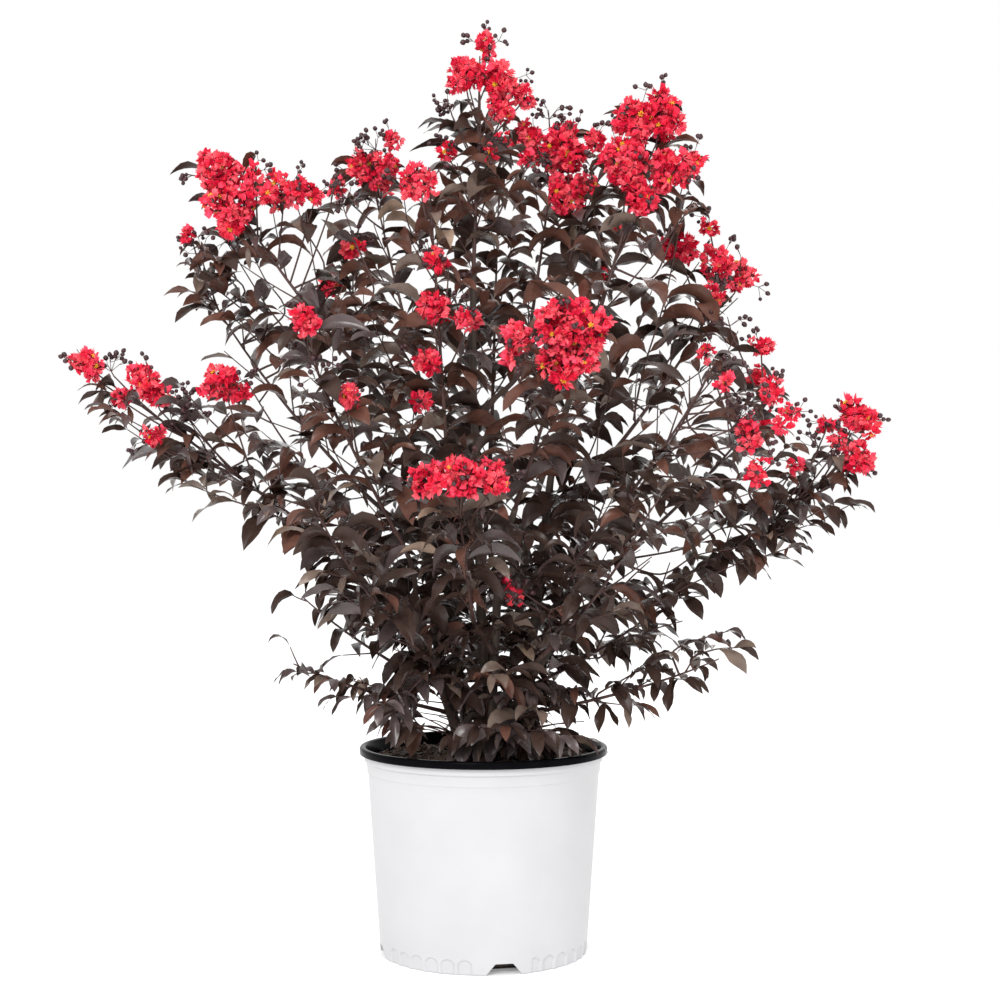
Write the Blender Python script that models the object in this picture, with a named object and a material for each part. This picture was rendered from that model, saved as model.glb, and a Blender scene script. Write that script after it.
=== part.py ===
"""Crape myrtle shrub in a nursery pot: pot, soil, stool, stems, boughs and masses of foliage.

Metres, +Z up. The origin is the centre of the pot's flat underside, and the plant's front faces -Y.
A bearing is an angle in degrees seen from above: 0 is +X, 90 is the back, 180 is -X, 270 is the front.
"""

import math
from collections import namedtuple

import bmesh
import bpy
import numpy as np
from mathutils import Matrix, Vector, noise

# Pot
POT_HEIGHT = 0.232
RIM_RADIUS = 0.140
RIM_BAND = 0.0085  # height of the rolled black rim
RIM_WIDTH = 0.0066  # from its outer edge in to the open mouth
FOOT_RADIUS = 0.1162
BAND_HEIGHT = 0.203  # the wall steps out here, and again at the collar, so that pots nest
BAND_RADII = (0.1304, 0.1316)  # below and above the step
COLLAR_HEIGHT = 0.2152
COLLAR_RADIUS = 0.1345
STEP_RISE = 0.0013
SHELL_THICKNESS = 0.0014
LINING_THICKNESS = 0.0012
FLOOR_THICKNESS = 0.0030
FLUTE_COUNT = 38
FLUTE_HEIGHT = 0.0150
FLUTE_FADE = 0.0030
FLUTE_DEPTH = 0.0018
NOTCH_COUNT = 4
NOTCH_BEARING = 281.5  # the notch right of the front
NOTCH_WIDTHS = (0.039, 0.020)  # at the floor and at its top
NOTCH_HEIGHT = 0.0125
NOTCH_CHEEK = 0.002  # height of its upright sides, below its slopes
NOTCH_REACH = 0.018

# Soil and stool
SOIL_DROP = 0.013  # from the rim down to the soil
SOIL_CORNER = 0.019  # the root ball's lower corner stays clear of the notches
SOIL_ROUND = 0.004  # how far the soil falls at its edge
STOOL_RADIUS = 0.037
STOOL_HEIGHT = 0.026
STOOL_LOBES = 5
STOOL_LOBE_DEPTH = 0.09  # as a share of the radius, at the soil
STOOL_SIDES = 20
STEM_RING = 0.025  # the stems stand on a ring of this radius
STEM_START = 0.3  # share of the stool's height at which they start, inside it
STEM_LEANS = (0.22, 0.12)  # how far each leans towards its foot's bearing and towards its foliage's

# Wood
STEM_RADII = (0.0063, 0.0034)  # at the foot and where it enters its foliage
BOUGH_RADII = (0.0036, 0.0024)
WOOD_SIDES = 7
WOOD_RINGS = 6
ARRIVAL = 0.32  # share of a limb's span over which it swings into line with its foliage

# Foliage
PLUME_SIDES = 10
PLUME_RINGS = (0.0, 0.10, 0.28, 0.48, 0.68, 0.85, 0.96)
PLUME_UNEVEN = 0.60
ROOT_CAP = 0.0065  # radius of the flat end that meets a limb's end
SIDE_ROOT_CAP = 0.0028  # radius of the end that starts inside the side of a stem
PLUME_GAP = 0.007  # between neighbouring masses
WOOD_CLEARANCE = 0.008  # between a mass and wood that passes by
THINNEST = 0.0015  # how near the axis a mass's corner may come
REACH_STEP = 0.0015
UNEVEN_PER_METRE = 19.0
ROOM_SAMPLES = 30  # points along each axis and limb that claim room
PATH_SAMPLES = 200

CONTACT_GAP = 0.0003
POT_SIDES = 2 * FLUTE_COUNT
ROUND_SIDES = 32
SHELL_TOP = POT_HEIGHT - RIM_BAND - CONTACT_GAP
MOUTH_FLARE = COLLAR_RADIUS - 0.001  # the wall's radius at its top, inside the collar
SOIL_TOP = POT_HEIGHT - SOIL_DROP

# A mass of foliage is a plume that grows outwards and up along a curved axis. tip is its (reach from the
# plant's middle line, height). root is where the limb that bears it enters it: a (reach, height) at the same
# bearing, or the name of the stem whose side it grows from and the height there. sag is how far the middle of
# the axis hangs below a straight line.
Plume = namedtuple("Plume", "bearing root tip half_width sag")
PLUMES = {
    "crown_top": Plume(200, (0.012, 0.770), (0.004, 1.047), 0.060, 0.0),
    "upper_left": Plume(189, (0.145, 0.660), (0.318, 0.908), 0.078, 0.02),
    "upper_right": Plume(345, (0.105, 0.640), (0.200, 0.968), 0.078, 0.02),
    "top_left": Plume(158, (0.080, 0.650), (0.150, 0.925), 0.062, 0.01),
    "top_right": Plume(30, (0.055, 0.670), (0.100, 0.950), 0.058, 0.01),
    "top_back": Plume(84, (0.090, 0.610), (0.180, 0.930), 0.068, 0.02),
    "front_upper_left": Plume(237, (0.072, 0.550), (0.112, 0.905), 0.060, 0.0),
    "front_upper_right": Plume(293, (0.090, 0.500), (0.262, 0.745), 0.070, 0.02),
    "left_shoulder": Plume(174, (0.140, 0.520), (0.352, 0.810), 0.066, 0.02),
    "right_shoulder": Plume(14, (0.150, 0.560), (0.318, 0.815), 0.068, 0.02),
    "back_upper_left": Plume(132, (0.125, 0.560), (0.290, 0.860), 0.074, 0.02),
    "back_upper_right": Plume(52, (0.125, 0.560), (0.290, 0.870), 0.074, 0.02),
    "left_front": Plume(217, (0.110, 0.460), (0.265, 0.745), 0.068, 0.02),
    "right_front": Plume(325, (0.120, 0.440), (0.318, 0.690), 0.070, 0.02),
    "left_arm": Plume(187, (0.140, 0.435), (0.471, 0.678), 0.050, 0.0),
    "right_arm": Plume(354, (0.120, 0.370), (0.460, 0.615), 0.050, 0.03),
    "right_side": Plume(2, (0.150, 0.440), (0.352, 0.665), 0.068, 0.02),
    "back_left": Plume(152, (0.130, 0.430), (0.350, 0.690), 0.072, 0.02),
    "back_middle": Plume(93, (0.130, 0.430), (0.345, 0.720), 0.080, 0.02),
    "back_right": Plume(33, (0.130, 0.430), (0.350, 0.700), 0.072, 0.02),
    "front_middle": Plume(264, (0.100, 0.380), (0.290, 0.575), 0.070, 0.02),
    "front_low_left": Plume(230, (0.100, 0.340), (0.290, 0.540), 0.066, 0.02),
    "front_low_right": Plume(311, (0.100, 0.340), (0.290, 0.540), 0.066, 0.02),
    "low_left": Plume(180, ("stem_upper_left", 0.285), (0.235, 0.430), 0.052, 0.01),
    "low_right": Plume(8, ("stem_upper_right", 0.285), (0.235, 0.415), 0.052, 0.01),
    "low_front": Plume(275, ("stem_front", 0.270), (0.180, 0.365), 0.055, 0.01),
    "low_back_left": Plume(130, ("stem_back_left", 0.285), (0.230, 0.450), 0.062, 0.01),
    "low_back_right": Plume(50, ("stem_back_right", 0.285), (0.230, 0.450), 0.062, 0.01),
    "low_left_sprig": Plume(206, ("stem_left", 0.265), (0.262, 0.350), 0.030, 0.005),
    "low_right_sprig": Plume(341, ("stem_right", 0.265), (0.306, 0.355), 0.030, 0.012),
}

# Each stem rises from the stool at its foot's bearing and ends where it enters its plume.
Stem = namedtuple("Stem", "plume foot_bearing")
STEMS = {
    "leader": Stem("crown_top", None),
    "stem_left": Stem("left_arm", 205),
    "stem_upper_left": Stem("upper_left", 166),
    "stem_back_left": Stem("back_upper_left", 126),
    "stem_back": Stem("back_middle", 86),
    "stem_back_right": Stem("back_upper_right", 46),
    "stem_upper_right": Stem("upper_right", 6),
    "stem_right": Stem("right_arm", 326),
    "stem_front": Stem("front_upper_right", 282),
}

# Each bough leaves its stem at a share of the stem's length and ends where it enters its plume.
Bough = namedtuple("Bough", "plume stem share")
BOUGHS = {
    "bough_top_left": Bough("top_left", "leader", 0.55),
    "bough_top_right": Bough("top_right", "leader", 0.66),
    "bough_front_upper_left": Bough("front_upper_left", "leader", 0.38),
    "bough_top_back": Bough("top_back", "stem_back", 0.62),
    "bough_left_shoulder": Bough("left_shoulder", "stem_upper_left", 0.45),
    "bough_right_shoulder": Bough("right_shoulder", "stem_upper_right", 0.52),
    "bough_left_front": Bough("left_front", "stem_left", 0.50),
    "bough_right_front": Bough("right_front", "stem_front", 0.55),
    "bough_right_side": Bough("right_side", "stem_upper_right", 0.30),
    "bough_back_left": Bough("back_left", "stem_back_left", 0.42),
    "bough_back_right": Bough("back_right", "stem_back_right", 0.42),
    "bough_front_middle": Bough("front_middle", "stem_front", 0.34),
    "bough_front_low_left": Bough("front_low_left", "stem_left", 0.30),
    "bough_front_low_right": Bough("front_low_right", "stem_right", 0.34),
}


def material(name, colour, roughness):
    made = bpy.data.materials.new(name)
    made.use_nodes = True
    shader = made.node_tree.nodes["Principled BSDF"]
    shader.inputs["Base Color"].default_value = (*colour, 1.0)
    shader.inputs["Roughness"].default_value = roughness
    shader.inputs["Metallic"].default_value = 0.0
    return made


def add_object(name, bm, finish, smooth=True):
    """Turns a bmesh into a named object, with its faces pointing out."""
    bmesh.ops.recalc_face_normals(bm, faces=bm.faces)
    mesh = bpy.data.meshes.new(name)
    bm.to_mesh(mesh)
    bm.free()
    mesh.materials.append(finish)
    if smooth:
        mesh.shade_smooth()
        mesh.set_sharp_from_angle(angle=math.radians(40))
    made = bpy.data.objects.new(name, mesh)
    bpy.context.scene.collection.objects.link(made)
    return made


def cutter(name, bm):
    made = add_object(name, bm, FINISHES["cutter"], smooth=False)
    made.hide_render = True
    made.display_type = "WIRE"
    return made


def cut(target, tool):
    boolean = target.modifiers.new("cut_" + tool.name, "BOOLEAN")
    boolean.operation = "DIFFERENCE"
    boolean.object = tool


def polar(reach, bearing, height):
    angle = math.radians(bearing)
    return Vector((reach * math.cos(angle), reach * math.sin(angle), height))


# Turned pieces


def turned(profile, sides, radius_at=None, loop=False):
    """A bmesh of the profile's (radius, height) points turned round Z. A radius of 0 is a single point."""
    bm = bmesh.new()
    rings = []
    for radius, height in profile:
        if radius == 0.0:
            rings.append([bm.verts.new((0.0, 0.0, height))])
            continue
        ring = []
        for i in range(sides):
            angle = 2 * math.pi * i / sides
            r = radius_at(radius, height, i) if radius_at else radius
            ring.append(bm.verts.new((r * math.cos(angle), r * math.sin(angle), height)))
        rings.append(ring)
    pairs = list(zip(rings, rings[1:]))
    if loop:
        pairs.append((rings[-1], rings[0]))
    for lower, upper in pairs:
        for i in range(sides):
            corners = [
                lower[i % len(lower)],
                lower[(i + 1) % len(lower)],
                upper[(i + 1) % len(upper)],
                upper[i % len(upper)],
            ]
            bm.faces.new(list(dict.fromkeys(corners)))
    return bm


def wall_radius(height):
    """The pot's outer wall, which widens evenly from its foot to its band."""
    return FOOT_RADIUS + (BAND_RADII[0] - FOOT_RADIUS) * height / BAND_HEIGHT


def pot_shell():
    """White outer layer: flat floor, fluted foot, tapered wall, and a band and collar that let pots nest."""
    flute_end = FLUTE_HEIGHT + FLUTE_FADE
    fluted_inside = FLUTE_DEPTH + SHELL_THICKNESS

    def fluted(radius, height, i):
        inside = radius < wall_radius(height) - 0.5 * SHELL_THICKNESS
        if inside or height > FLUTE_HEIGHT or i % 2:
            return radius
        return radius - FLUTE_DEPTH

    outer = [
        (0.0, 0.0),
        (wall_radius(0.0), 0.0),
        (wall_radius(FLUTE_HEIGHT), FLUTE_HEIGHT),
        (wall_radius(flute_end), flute_end),
        (BAND_RADII[0], BAND_HEIGHT),
        (BAND_RADII[1], BAND_HEIGHT + STEP_RISE),
        (BAND_RADII[1] + 0.0004, COLLAR_HEIGHT),
        (COLLAR_RADIUS, COLLAR_HEIGHT + STEP_RISE),
        (COLLAR_RADIUS, SHELL_TOP),
    ]
    inner = [
        (MOUTH_FLARE - SHELL_THICKNESS, SHELL_TOP),
        (BAND_RADII[0] - SHELL_THICKNESS, BAND_HEIGHT),
        (wall_radius(flute_end) - fluted_inside, flute_end),
        (wall_radius(0.0) - fluted_inside, FLOOR_THICKNESS),
        (0.0, FLOOR_THICKNESS),
    ]
    shell = add_object("pot_shell", turned(outer + inner, POT_SIDES, fluted), FINISHES["white"])
    for n in range(NOTCH_COUNT):
        cut(shell, notch_cutter(n))


def notch_cutter(n):
    """A wedge with a trapezium's front, which opens the pot's lower corner for drainage."""
    bm = bmesh.new()
    low, high = NOTCH_WIDTHS
    inner = FOOT_RADIUS - NOTCH_REACH
    outer = FOOT_RADIUS + NOTCH_REACH
    below = -NOTCH_CHEEK
    outline = [(-low / 2, below), (low / 2, below), (low / 2, NOTCH_CHEEK), (high / 2, NOTCH_HEIGHT)]
    outline += [(-high / 2, NOTCH_HEIGHT), (-low / 2, NOTCH_CHEEK)]
    near = [bm.verts.new((inner, y, z)) for y, z in outline]
    far = [bm.verts.new((outer, y, z)) for y, z in outline]
    bm.faces.new(near)
    bm.faces.new(far)
    for i in range(len(outline)):
        j = (i + 1) % len(outline)
        bm.faces.new([near[i], near[j], far[j], far[i]])
    turn = Matrix.Rotation(math.radians(NOTCH_BEARING + 360 * n / NOTCH_COUNT), 4, "Z")
    bm.transform(turn)
    return cutter(f"notch_{n + 1}", bm)


def pot_lining():
    """Black inner layer, which rolls over the shell's top edge as the rim."""
    under_rim = POT_HEIGHT - RIM_BAND
    bottom = wall_radius(SOIL_CORNER) - FLUTE_DEPTH
    outside = SHELL_THICKNESS + CONTACT_GAP
    inside = outside + LINING_THICKNESS
    mouth = RIM_RADIUS - RIM_WIDTH
    profile = [
        (bottom - outside, SOIL_CORNER),
        (BAND_RADII[0] - outside, BAND_HEIGHT),
        (MOUTH_FLARE - outside, under_rim),
        (RIM_RADIUS - 0.0012, under_rim),
        (RIM_RADIUS, under_rim + 0.0020),
        (RIM_RADIUS, POT_HEIGHT - 0.0022),
        (RIM_RADIUS - 0.0020, POT_HEIGHT),
        (mouth + 0.0008, POT_HEIGHT),
        (mouth - 0.0020, POT_HEIGHT - 0.0030),
        (BAND_RADII[0] - inside, BAND_HEIGHT),
        (bottom - inside, SOIL_CORNER),
    ]
    add_object("pot_lining", turned(profile, ROUND_SIDES, loop=True), FINISHES["black"])


def potting_soil():
    """The root ball: it fills the lining, with its lower corner drawn in above the drainage notches."""
    wall = SHELL_THICKNESS + LINING_THICKNESS + 2 * CONTACT_GAP
    above_floor = FLOOR_THICKNESS + CONTACT_GAP
    top_radius = BAND_RADII[0] - wall
    profile = [
        (0.0, above_floor),
        (FOOT_RADIUS - NOTCH_REACH - 0.002, above_floor),
        (wall_radius(SOIL_CORNER) - FLUTE_DEPTH - wall, SOIL_CORNER),
        (top_radius, BAND_HEIGHT),
        (top_radius, SOIL_TOP - SOIL_ROUND),
        (top_radius - 3 * SOIL_ROUND, SOIL_TOP),
        (0.0, SOIL_TOP),
    ]
    add_object("potting_soil", turned(profile, ROUND_SIDES), FINISHES["soil"])


# Wood


def stool_mesh(swell):
    """The woody base that all the stems share, flared into lobes where it meets the soil."""
    foot = SOIL_TOP + CONTACT_GAP - (swell > 0) * STOOL_HEIGHT
    profile = [
        (0.0, foot),
        (STOOL_RADIUS + swell, foot),
        (STOOL_RADIUS * 0.92 + swell, SOIL_TOP + STOOL_HEIGHT * 0.35),
        (STOOL_RADIUS * 0.86 + swell, SOIL_TOP + STOOL_HEIGHT * 0.75),
        (STOOL_RADIUS * 0.62 + swell, SOIL_TOP + STOOL_HEIGHT + swell),
        (0.0, SOIL_TOP + STOOL_HEIGHT + swell),
    ]

    def lobed(radius, height, i):
        flare = max(0.0, 1 - (height - SOIL_TOP) / STOOL_HEIGHT)
        return radius * (1 + STOOL_LOBE_DEPTH * flare * math.cos(2 * math.pi * STOOL_LOBES * i / STOOL_SIDES))

    return turned(profile, STOOL_SIDES, lobed)


class Limb:
    """A smooth tapering limb from start, leaving along heading, to end, arriving along end_heading."""

    def __init__(self, start, heading, end, end_heading, radii, rise):
        span = (end - start).length
        self.controls = (start, start + heading * span * rise, end - end_heading * span * ARRIVAL, end)
        self.radii = radii

    def point(self, t):
        a, b, c, d = self.controls
        s = 1 - t
        return a * s**3 + b * (3 * s * s * t) + c * (3 * s * t * t) + d * t**3

    def heading(self, t):
        a, b, c, d = self.controls
        s = 1 - t
        return ((b - a) * s * s + (c - b) * (2 * s * t) + (d - c) * t * t).normalized()

    def radius(self, t):
        return self.radii[0] + (self.radii[1] - self.radii[0]) * t

    def mesh(self, swell=0.0):
        """A closed tube with flat ends, made of rings square to the limb."""
        bm = bmesh.new()
        rings = []
        side = Vector((0, 1, 0))
        for i in range(WOOD_RINGS):
            t = i / (WOOD_RINGS - 1)
            ahead = self.heading(t)
            side = (side - ahead * side.dot(ahead)).normalized()
            rings.append(ring_of_verts(bm, self.point(t), side, ahead, [self.radius(t) + swell] * WOOD_SIDES))
        bridge(bm, rings)
        bm.faces.new(rings[0])
        bm.faces.new(rings[-1])
        return bm


class Mass:
    """A mass of foliage along a curved axis from start to tip, with a flat root that meets its limb."""

    def __init__(self, name, start):
        self.plume = PLUMES[name]
        self.start = start
        self.tip = polar(self.plume.tip[0], self.plume.bearing, self.plume.tip[1])
        self.middle = (self.start + self.tip) / 2 - Vector((0, 0, 2 * self.plume.sag))
        self.root_cap = SIDE_ROOT_CAP if self.plume.root[0] in STEMS else ROOT_CAP
        self.seed = Vector((7.1, 3.3, 1.7)) * (1 + list(PLUMES).index(name))

    def point(self, t):
        return self.start * (1 - t) ** 2 + self.middle * (2 * t * (1 - t)) + self.tip * t * t

    def heading(self, t):
        return ((self.middle - self.start) * (1 - t) + (self.tip - self.middle) * t).normalized()

    def radius(self, t):
        """It fills out quickly from its flat root and rounds off at its tip."""
        fill = math.sin(math.pi * min(1.0, 0.10 + 0.90 * t**0.85)) ** 0.52 - 0.38 * (1 - t) ** 6
        root = self.root_cap * (1 - t)
        return root + (self.plume.half_width - root) * max(0.0, fill)

    def mesh(self, is_free):
        """Each corner goes out from the axis as far as the mass's own thickness and its neighbours allow."""
        bm = bmesh.new()
        rings = []
        side = Vector((0, 0, 1))
        for i, t in enumerate(PLUME_RINGS):
            centre = self.point(t)
            ahead = self.heading(t)
            side = side - ahead * side.dot(ahead)
            if side.length < 0.2:
                side = ahead.cross(Vector((0, 1, 0)))
            side.normalize()
            reaches = []
            for out in spokes(side, ahead, PLUME_SIDES):
                reach = self.root_cap
                if i > 0:
                    wanted = self.radius(t)
                    place = (centre + out * wanted) * UNEVEN_PER_METRE + self.seed
                    wanted *= 1 + PLUME_UNEVEN * noise.noise(place)
                    reach = THINNEST
                    while reach + REACH_STEP < wanted and is_free(centre + out * (reach + REACH_STEP)):
                        reach += REACH_STEP
                reaches.append(reach)
            rings.append(ring_of_verts(bm, centre, side, ahead, reaches))
        bridge(bm, rings)
        bm.faces.new(rings[0])
        tip = bm.verts.new(self.tip)
        for k in range(PLUME_SIDES):
            bm.faces.new([rings[-1][k], rings[-1][(k + 1) % PLUME_SIDES], tip])
        bmesh.ops.triangulate(bm, faces=bm.faces)
        return bm


class Room:
    """Tells which space belongs to which mass, with gaps between masses and round wood that passes by."""

    def __init__(self, masses, limbs, bearers):
        shares = [k / ROOM_SAMPLES for k in range(ROOM_SAMPLES + 1)]
        rows = [(mass.point(t), mass.radius(t), name) for name, mass in masses.items() for t in shares]
        self.points, self.radii, self.owners = (np.array(column) for column in zip(*rows))
        rows = [(limb.point(t), limb.radius(t), name) for name, limb in limbs.items() for t in shares]
        self.wood_points, self.wood_radii, self.wood_names = (np.array(column) for column in zip(*rows))
        self.bearers = bearers

    def test_for(self, name):
        mine = self.owners == name
        passing = self.wood_names != self.bearers[name]

        def is_free(point):
            place = np.array(point)
            depths = np.linalg.norm(self.points - place, axis=1) - self.radii
            if depths[mine].min() > depths[~mine].min() - PLUME_GAP:
                return False
            gaps = np.linalg.norm(self.wood_points[passing] - place, axis=1) - self.wood_radii[passing]
            return gaps.min() > WOOD_CLEARANCE

        return is_free


def spokes(side, ahead, count):
    other = ahead.cross(side)
    angles = [2 * math.pi * k / count for k in range(count)]
    return [side * math.cos(angle) + other * math.sin(angle) for angle in angles]


def ring_of_verts(bm, centre, side, ahead, reaches):
    outs = spokes(side, ahead, len(reaches))
    return [bm.verts.new(centre + out * reach) for out, reach in zip(outs, reaches)]


def bridge(bm, rings):
    for lower, upper in zip(rings, rings[1:]):
        for k in range(len(lower)):
            j = (k + 1) % len(lower)
            bm.faces.new([lower[k], lower[j], upper[j], upper[k]])


# Assembly


def grown_stem(stem, mass):
    height = SOIL_TOP + STEM_START * STOOL_HEIGHT
    foot = Vector((0, 0, height))
    lean = Vector((0, 0, 1))
    if stem.foot_bearing is not None:
        foot = polar(STEM_RING, stem.foot_bearing, height)
        lean += polar(STEM_LEANS[0], stem.foot_bearing, 0) + polar(STEM_LEANS[1], mass.plume.bearing, 0)
    heading = mass.heading(0)
    return Limb(foot, lean.normalized(), mass.start - heading * CONTACT_GAP, heading, STEM_RADII, rise=0.42)


def grown_bough(bough, stem, mass):
    start = stem.point(bough.share)
    heading = mass.heading(0)
    end = mass.start - heading * CONTACT_GAP
    leaving = stem.heading(bough.share) * 0.35 + (end - start).normalized()
    return Limb(start, leaving.normalized(), end, heading, BOUGH_RADII, rise=0.30)


def point_at_height(limb, height):
    """The point of the limb's middle line that is nearest to the given height."""
    points = [limb.point(k / PATH_SAMPLES) for k in range(PATH_SAMPLES + 1)]
    return min(points, key=lambda point: abs(point.z - height))


def plan_plant():
    """Works out every mass and limb, and which limb bears each mass."""
    masses, stems, boughs, bearers = {}, {}, {}, {}
    for name, plume in PLUMES.items():
        if plume.root[0] not in STEMS:
            masses[name] = Mass(name, polar(plume.root[0], plume.bearing, plume.root[1]))
    for name, stem in STEMS.items():
        stems[name] = grown_stem(stem, masses[stem.plume])
        bearers[stem.plume] = name
    for name, bough in BOUGHS.items():
        boughs[name] = grown_bough(bough, stems[bough.stem], masses[bough.plume])
        bearers[bough.plume] = name
    for name, plume in PLUMES.items():
        if plume.root[0] in STEMS:
            bearers[name] = plume.root[0]
            masses[name] = Mass(name, point_at_height(stems[plume.root[0]], plume.root[1]))
    return masses, stems, boughs, bearers


def plant():
    """The stool, stems, boughs and masses, each cut back by what it grows from."""
    masses, stems, boughs, bearers = plan_plant()
    add_object("stool", stool_mesh(0.0), FINISHES["old_wood"])
    stool_room = cutter("stool_room", stool_mesh(CONTACT_GAP))
    stem_rooms = {}
    for name, stem in stems.items():
        cut(add_object(name, stem.mesh(), FINISHES["old_wood"]), stool_room)
        stem_rooms[name] = cutter(name + "_room", stem.mesh(swell=CONTACT_GAP))
    for name, bough in boughs.items():
        cut(add_object(name, bough.mesh(), FINISHES["young_wood"]), stem_rooms[BOUGHS[name].stem])
    room = Room(masses, {**stems, **boughs}, bearers)
    for name, mass in masses.items():
        made = add_object("foliage_" + name, mass.mesh(room.test_for(name)), FINISHES["leaf"])
        if mass.plume.root[0] in STEMS:
            cut(made, stem_rooms[bearers[name]])


for leftover in list(bpy.data.objects):
    bpy.data.objects.remove(leftover)

FINISHES = {
    "white": material("pot_white", (0.86, 0.86, 0.88), 0.35),
    "black": material("pot_black", (0.012, 0.011, 0.013), 0.28),
    "soil": material("soil", (0.035, 0.022, 0.015), 0.95),
    "old_wood": material("bark", (0.20, 0.13, 0.075), 0.75),
    "young_wood": material("young_bark", (0.075, 0.030, 0.024), 0.60),
    "leaf": material("leaf", (0.030, 0.019, 0.018), 0.45),
    "cutter": material("cutter", (0.5, 0.5, 0.5), 0.5),
}
pot_shell()
pot_lining()
potting_soil()
plant()
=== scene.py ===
import math
from collections import namedtuple

import bmesh
import bpy
import numpy as np
from mathutils import Matrix, Vector, noise
from mathutils.bvhtree import BVHTree


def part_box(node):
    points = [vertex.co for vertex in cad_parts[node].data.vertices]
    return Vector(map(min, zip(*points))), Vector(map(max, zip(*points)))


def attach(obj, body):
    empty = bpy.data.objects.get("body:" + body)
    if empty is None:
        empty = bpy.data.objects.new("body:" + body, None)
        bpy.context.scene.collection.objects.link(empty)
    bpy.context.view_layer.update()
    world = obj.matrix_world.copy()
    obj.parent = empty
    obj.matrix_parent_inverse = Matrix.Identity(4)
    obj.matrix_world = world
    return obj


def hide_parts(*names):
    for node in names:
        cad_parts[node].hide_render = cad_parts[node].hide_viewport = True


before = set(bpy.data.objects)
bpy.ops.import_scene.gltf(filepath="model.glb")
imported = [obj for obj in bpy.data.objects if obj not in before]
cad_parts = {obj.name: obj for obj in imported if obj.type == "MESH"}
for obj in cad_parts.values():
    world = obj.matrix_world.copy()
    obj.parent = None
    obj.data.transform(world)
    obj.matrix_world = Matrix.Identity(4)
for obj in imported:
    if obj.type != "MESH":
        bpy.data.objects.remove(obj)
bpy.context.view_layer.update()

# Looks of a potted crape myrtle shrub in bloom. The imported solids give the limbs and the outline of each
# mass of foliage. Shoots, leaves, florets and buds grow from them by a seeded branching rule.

SEED = 20
UP = np.array((0.0, 0.0, 1.0))
GOLDEN_ANGLE = math.radians(137.5)
SKEW = (0.31, 0.87, 0.38)  # a direction that no shoot follows
PER_METRE = 1000  # places in the tables of shoots, sky and panicles are in millimetres

# Camera: level, looking along +Y, with the field of view that the pot and the crown give
CAMERA_PLACE = (0.0186, -2.108, 0.509)
CAMERA_LENS = 67.07
SENSOR_WIDTH = 36.0

# Pot
POT_HEIGHT = 0.232
RIM_RADIUS = 0.140
RIM_BAND = 0.0085
RIM_WIDTH = 0.0066
FOOT_RADIUS = 0.1162
BAND_HEIGHT = 0.203
BAND_RADII = (0.1304, 0.1316)
COLLAR_HEIGHT = 0.2152
COLLAR_RADIUS = 0.1345
STEP_RISE = 0.0013
SHELL_THICKNESS = 0.0014
LINING_THICKNESS = 0.0012
FLOOR_THICKNESS = 0.003
CONTACT_GAP = 0.0003
FOOT_ROUND = 0.0012
FLUTE_COUNT = 38
FLUTE_COLUMNS = 12
FLUTE_HEIGHT = 0.0166
FLUTE_DEPTH = 0.0016
FLUTE_SHARE = 0.80  # share of a flute's pitch that is recessed
NOTCH_COUNT = 4
NOTCH_BEARING = 281.5
NOTCH_WIDTHS = (0.039, 0.020)
NOTCH_HEIGHT = 0.0125
NOTCH_CHEEK = 0.002
NOTCH_REACH = 0.018
NOTCH_ROUND = 0.0025
NOTCH_MARGIN = 0.013  # plain wall either side of a notch
SOIL_CORNER = 0.019
SOIL_RADIUS = 0.1272
SOIL_ROUGHNESS = 0.0035
SOIL_RINGS = 46
SOIL_SIDES = 200
LINING_SIDES = 256
CHIP_COUNT = 900
CHIP_SIZES = ((0.002, 0.0065), (0.0012, 0.003), (0.0005, 0.0014))  # half sizes, least and most

# Wood
RING_REACH = 0.0088  # vertices of one limb that are nearer than this are in one ring
LIMB_STEP = 0.006
LIMB_SIDES = 12
BARK_RELIEF = 0.08  # as a share of the limb's radius
SHOOT_TIP_RADIUS = 0.0006
MAIN_SIDES = 6  # of a mass's main shoot
SIDE_SHOOT_RADIUS = 0.0011
SIDE_SHOOTS = (0.04, 0.84)  # where they start along a mass, and over what share of it
SIDE_SHOOT_LENGTHS = (0.020, 0.150)
SIDE_SHOOT_RISE = 0.12
REACH_LIMIT = 0.20
SPUR_LENGTHS = (0.025, 0.060)

# Leaves: stations along the blade, and half widths there as a share of the widest
LEAF_STATIONS = (0.0, 0.06, 0.15, 0.27, 0.40, 0.54, 0.68, 0.81, 0.92, 1.0)
LEAF_WIDTHS = (0.05, 0.12, 0.50, 0.80, 0.97, 1.0, 0.87, 0.60, 0.26, 0.0)
LEAF_ACROSS = (-1.0, -0.5, 0.0, 0.5, 1.0)
LEAF_HALF_WIDTH = 0.110  # of its length, for a leaf that does not droop
DROOP_WIDENS = 0.027  # added to that for each unit of droop
LEAF_OPEN = (0.85, 1.25)  # angle between a leaf and its shoot, in radians
LEAF_RISE = 0.25  # how much a leaf turns up at its foot
SIDE_BIAS = 1.5  # leaves spread to the left and right of the camera more than towards it
LEAF_ROLL = 1.9  # range of a leaf's turn about its rib, in radians
SPUR_STEP = 0.026  # between short leafy spurs along the limbs
SPURS_FROM = 0.245  # lowest height with leaves on the limbs
SPURS_THIN_OUT = 0.54  # above this height every other spur is left out
LEAF_TINTS = {
    "leaves_black": (0.0420, 0.0240, 0.0190),
    "leaves_brown": (0.1040, 0.0450, 0.0320),
    "leaves_purple": (0.0800, 0.0570, 0.0550),
    "leaves_taupe": (0.1420, 0.1000, 0.0790),
    # Pale tan: partly the colour of young leaves, partly a painted highlight for glints
    "leaves_tan_glint": (0.2500, 0.1720, 0.1250),
}
LEAF_GLOSS = (0.18, 0.22, 0.50, 0.34, 0.22)  # specular level of each
LOW_SHADE_TINTS = (0.80, 0.38)  # height below which the low crown's darker shares, painted shade, fade in, and over what height
FOOT_TINTS = (0.33, 0.05)  # the same for the shares over the soil
FAVOURITE_SHARE = 0.45  # added to a spray's favourite colour
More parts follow.
